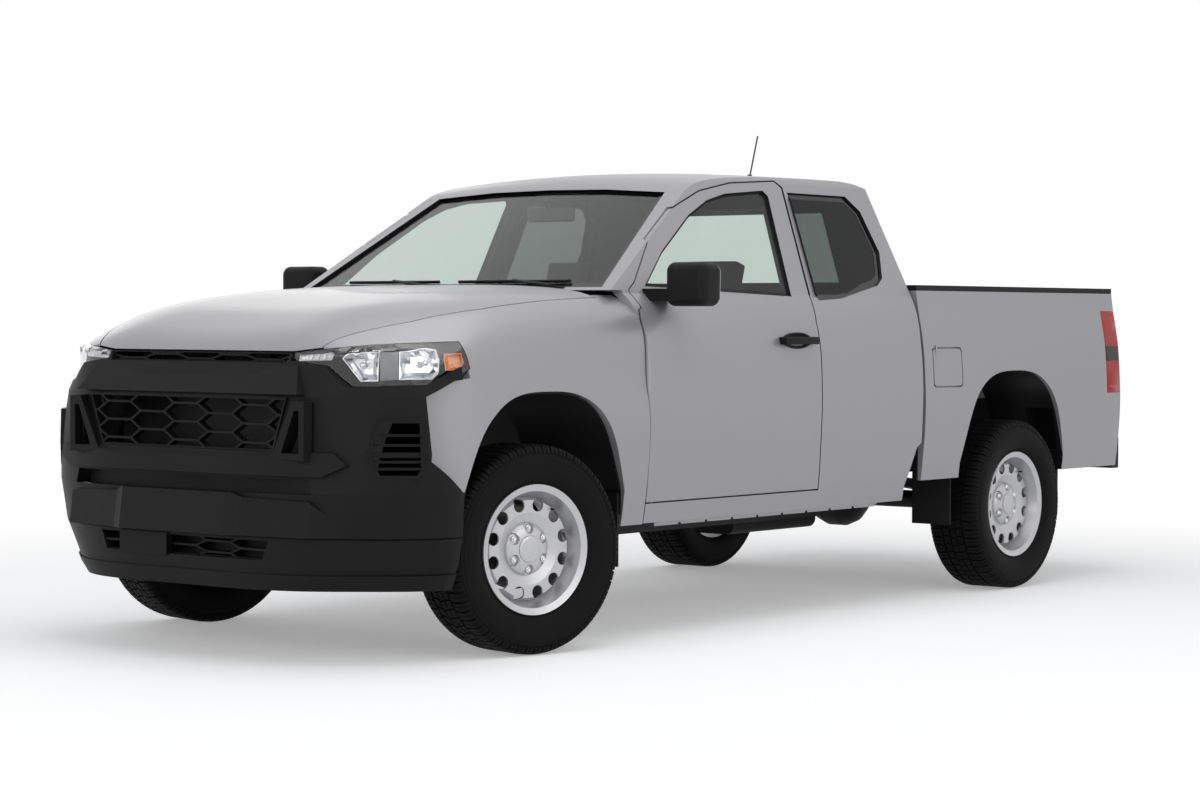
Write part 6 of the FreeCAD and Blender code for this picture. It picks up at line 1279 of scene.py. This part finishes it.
def make_door_fittings():
    """Mirror housings and handles with moulded, rounded edges."""
    for word, side in SIDES:
        mirror = copy_of_node("door_fittings_" + word, "mirror_and_handle_" + word)
        open_edit(mirror, "FACE")
        choose(mirror, "FACE", lambda face: face.calc_center_median().z < MIRROR_FOOT)
        bpy.ops.mesh.separate(type="SELECTED")
        leave_edit()
        handle = next(piece for piece in bpy.context.selected_objects if piece != mirror)
        for piece, width in ((mirror, MIRROR_ROUND), (handle, HANDLE_ROUND)):
            open_edit(piece)
            bpy.ops.mesh.dissolve_limited(angle_limit=SAME_FACE)
            leave_edit()
            soften(piece, width, FITTING_STEPS, FITTING_ANGLE)
        both = joined("mirror_and_handle_" + word, [mirror, handle, handle_cup(side)])
        smooth(both, FACET_ANGLE)
        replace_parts(dress(both, BLACK_PLASTIC, "door_" + word, "black_plastic"), "door_fittings_" + word)


MIRROR_FACE = [(948, 1288), (956, 1276), (1094, 1276), (1106, 1290), (1108, 1398), (1098, 1414),
               (968, 1414), (950, 1400)]
MIRROR_BACK = 860.2
MIRROR_FACE_THICKNESS = 0.0015


def make_mirror_faces():
    """Bright plates in the mirrors."""
    for word, side in SIDES:
        outline = [axle_place(side * x, MIRROR_BACK, z) for x, z in MIRROR_FACE]
        face = draw_block("mirror_face_" + word, outline, (0, MIRROR_FACE_THICKNESS, 0))
        dress(face, CHROME, "door_" + word, "lamp_lens")


SILL_EDGE = 918
SILL_FOOT = 446
SILL_START = 700
SILL_PITCH = 172
SILL_PITCHES = 9
SILL_TAB = [(0, -22), (150, -22), (154, -14), (SILL_PITCH - 4, -14)]
SILL_THICKNESS = 2.5


def make_sill_edges():
    """Welded edges under the sills, with a row of tabs."""
    seams = []
    for side in (1, -1):
        outline = [(SILL_START, SILL_FOOT)]
        for number in range(SILL_PITCHES):
            start = SILL_START + number * SILL_PITCH
            outline += [(start + y, SILL_FOOT + z) for y, z in SILL_TAB]
        outline.append((SILL_START + SILL_PITCHES * SILL_PITCH, SILL_FOOT))
        seams.append(plate("sill_edge", side * SILL_EDGE, outline, -side * SILL_THICKNESS))
    dress(joined("sill_edges", seams), PAINT, slot="body_paint")


DUCT_SECTION = [(-853, 356), (-853, 353), (-818, 353), (-818, 452), (-853, 452), (-853, 449), (-821, 449),
                (-821, 356)]
DUCT_HALF = 440


def make_lower_duct():
    """Dark channel behind the lower slots of the bumper."""
    duct = plate("lower_duct", -DUCT_HALF, DUCT_SECTION, DUCT_HALF * 2)
    soften(duct, HAIR_EDGE)
    dress(duct, BLACK_PLASTIC, slot="black_plastic")


ARCH_SECTION = [(615, 590), (915, 575), (925, 640), (915, 880), (615, 880)]
ARCH_PLATE_BACK = 3812
ARCH_PLATE_THICKNESS = 0.004


def make_arch_plates():
    """Plates that close the rear arches towards the cab."""
    plates = []
    for side in (1, -1):
        outline = [axle_place(side * x, ARCH_PLATE_BACK, z) for x, z in ARCH_SECTION]
        plates.append(draw_block("arch_plate", outline, (0, ARCH_PLATE_THICKNESS, 0)))
    dress(joined("rear_arch_plates", plates), BLACK_PLASTIC, slot="black_plastic")


RIBS_ACROSS = 9
RIB_SPACING = 132
RIB_HALF = 34
RIB_START, RIB_END = 2640, 4200
RIB_BOTTOM = 850.2
RIB_HEIGHT = 0.0042
RIB_ROUND = 0.0035


def make_floor_ribs():
    """Pressed ribs along the bed floor."""
    ribs = []
    for number in range(RIBS_ACROSS):
        x = (number - RIBS_ACROSS // 2) * RIB_SPACING
        low, high = x - RIB_HALF, x + RIB_HALF
        outline = [axle_place(*corner, RIB_BOTTOM) for corner in (
            (low, RIB_START), (high, RIB_START), (high, RIB_END), (low, RIB_END))]
        ribs.append(draw_block("rib", outline, (0, 0, RIB_HEIGHT)))
    floor_ribs = joined("bed_floor_ribs", ribs)
    soften(floor_ribs, RIB_ROUND)
    dress(floor_ribs, PAINT, slot="body_paint")


place_camera()
light_scene()
lay_floor()
paint_nodes()
make_wheels()
make_headlamps()
make_tail_lamps()
make_window_rims()
make_seats()
make_steering_wheel()
make_door_fittings()
make_mirror_faces()
make_sill_edges()
make_lower_duct()
make_arch_plates()
make_floor_ribs()
make_wipers()

leave_edit()
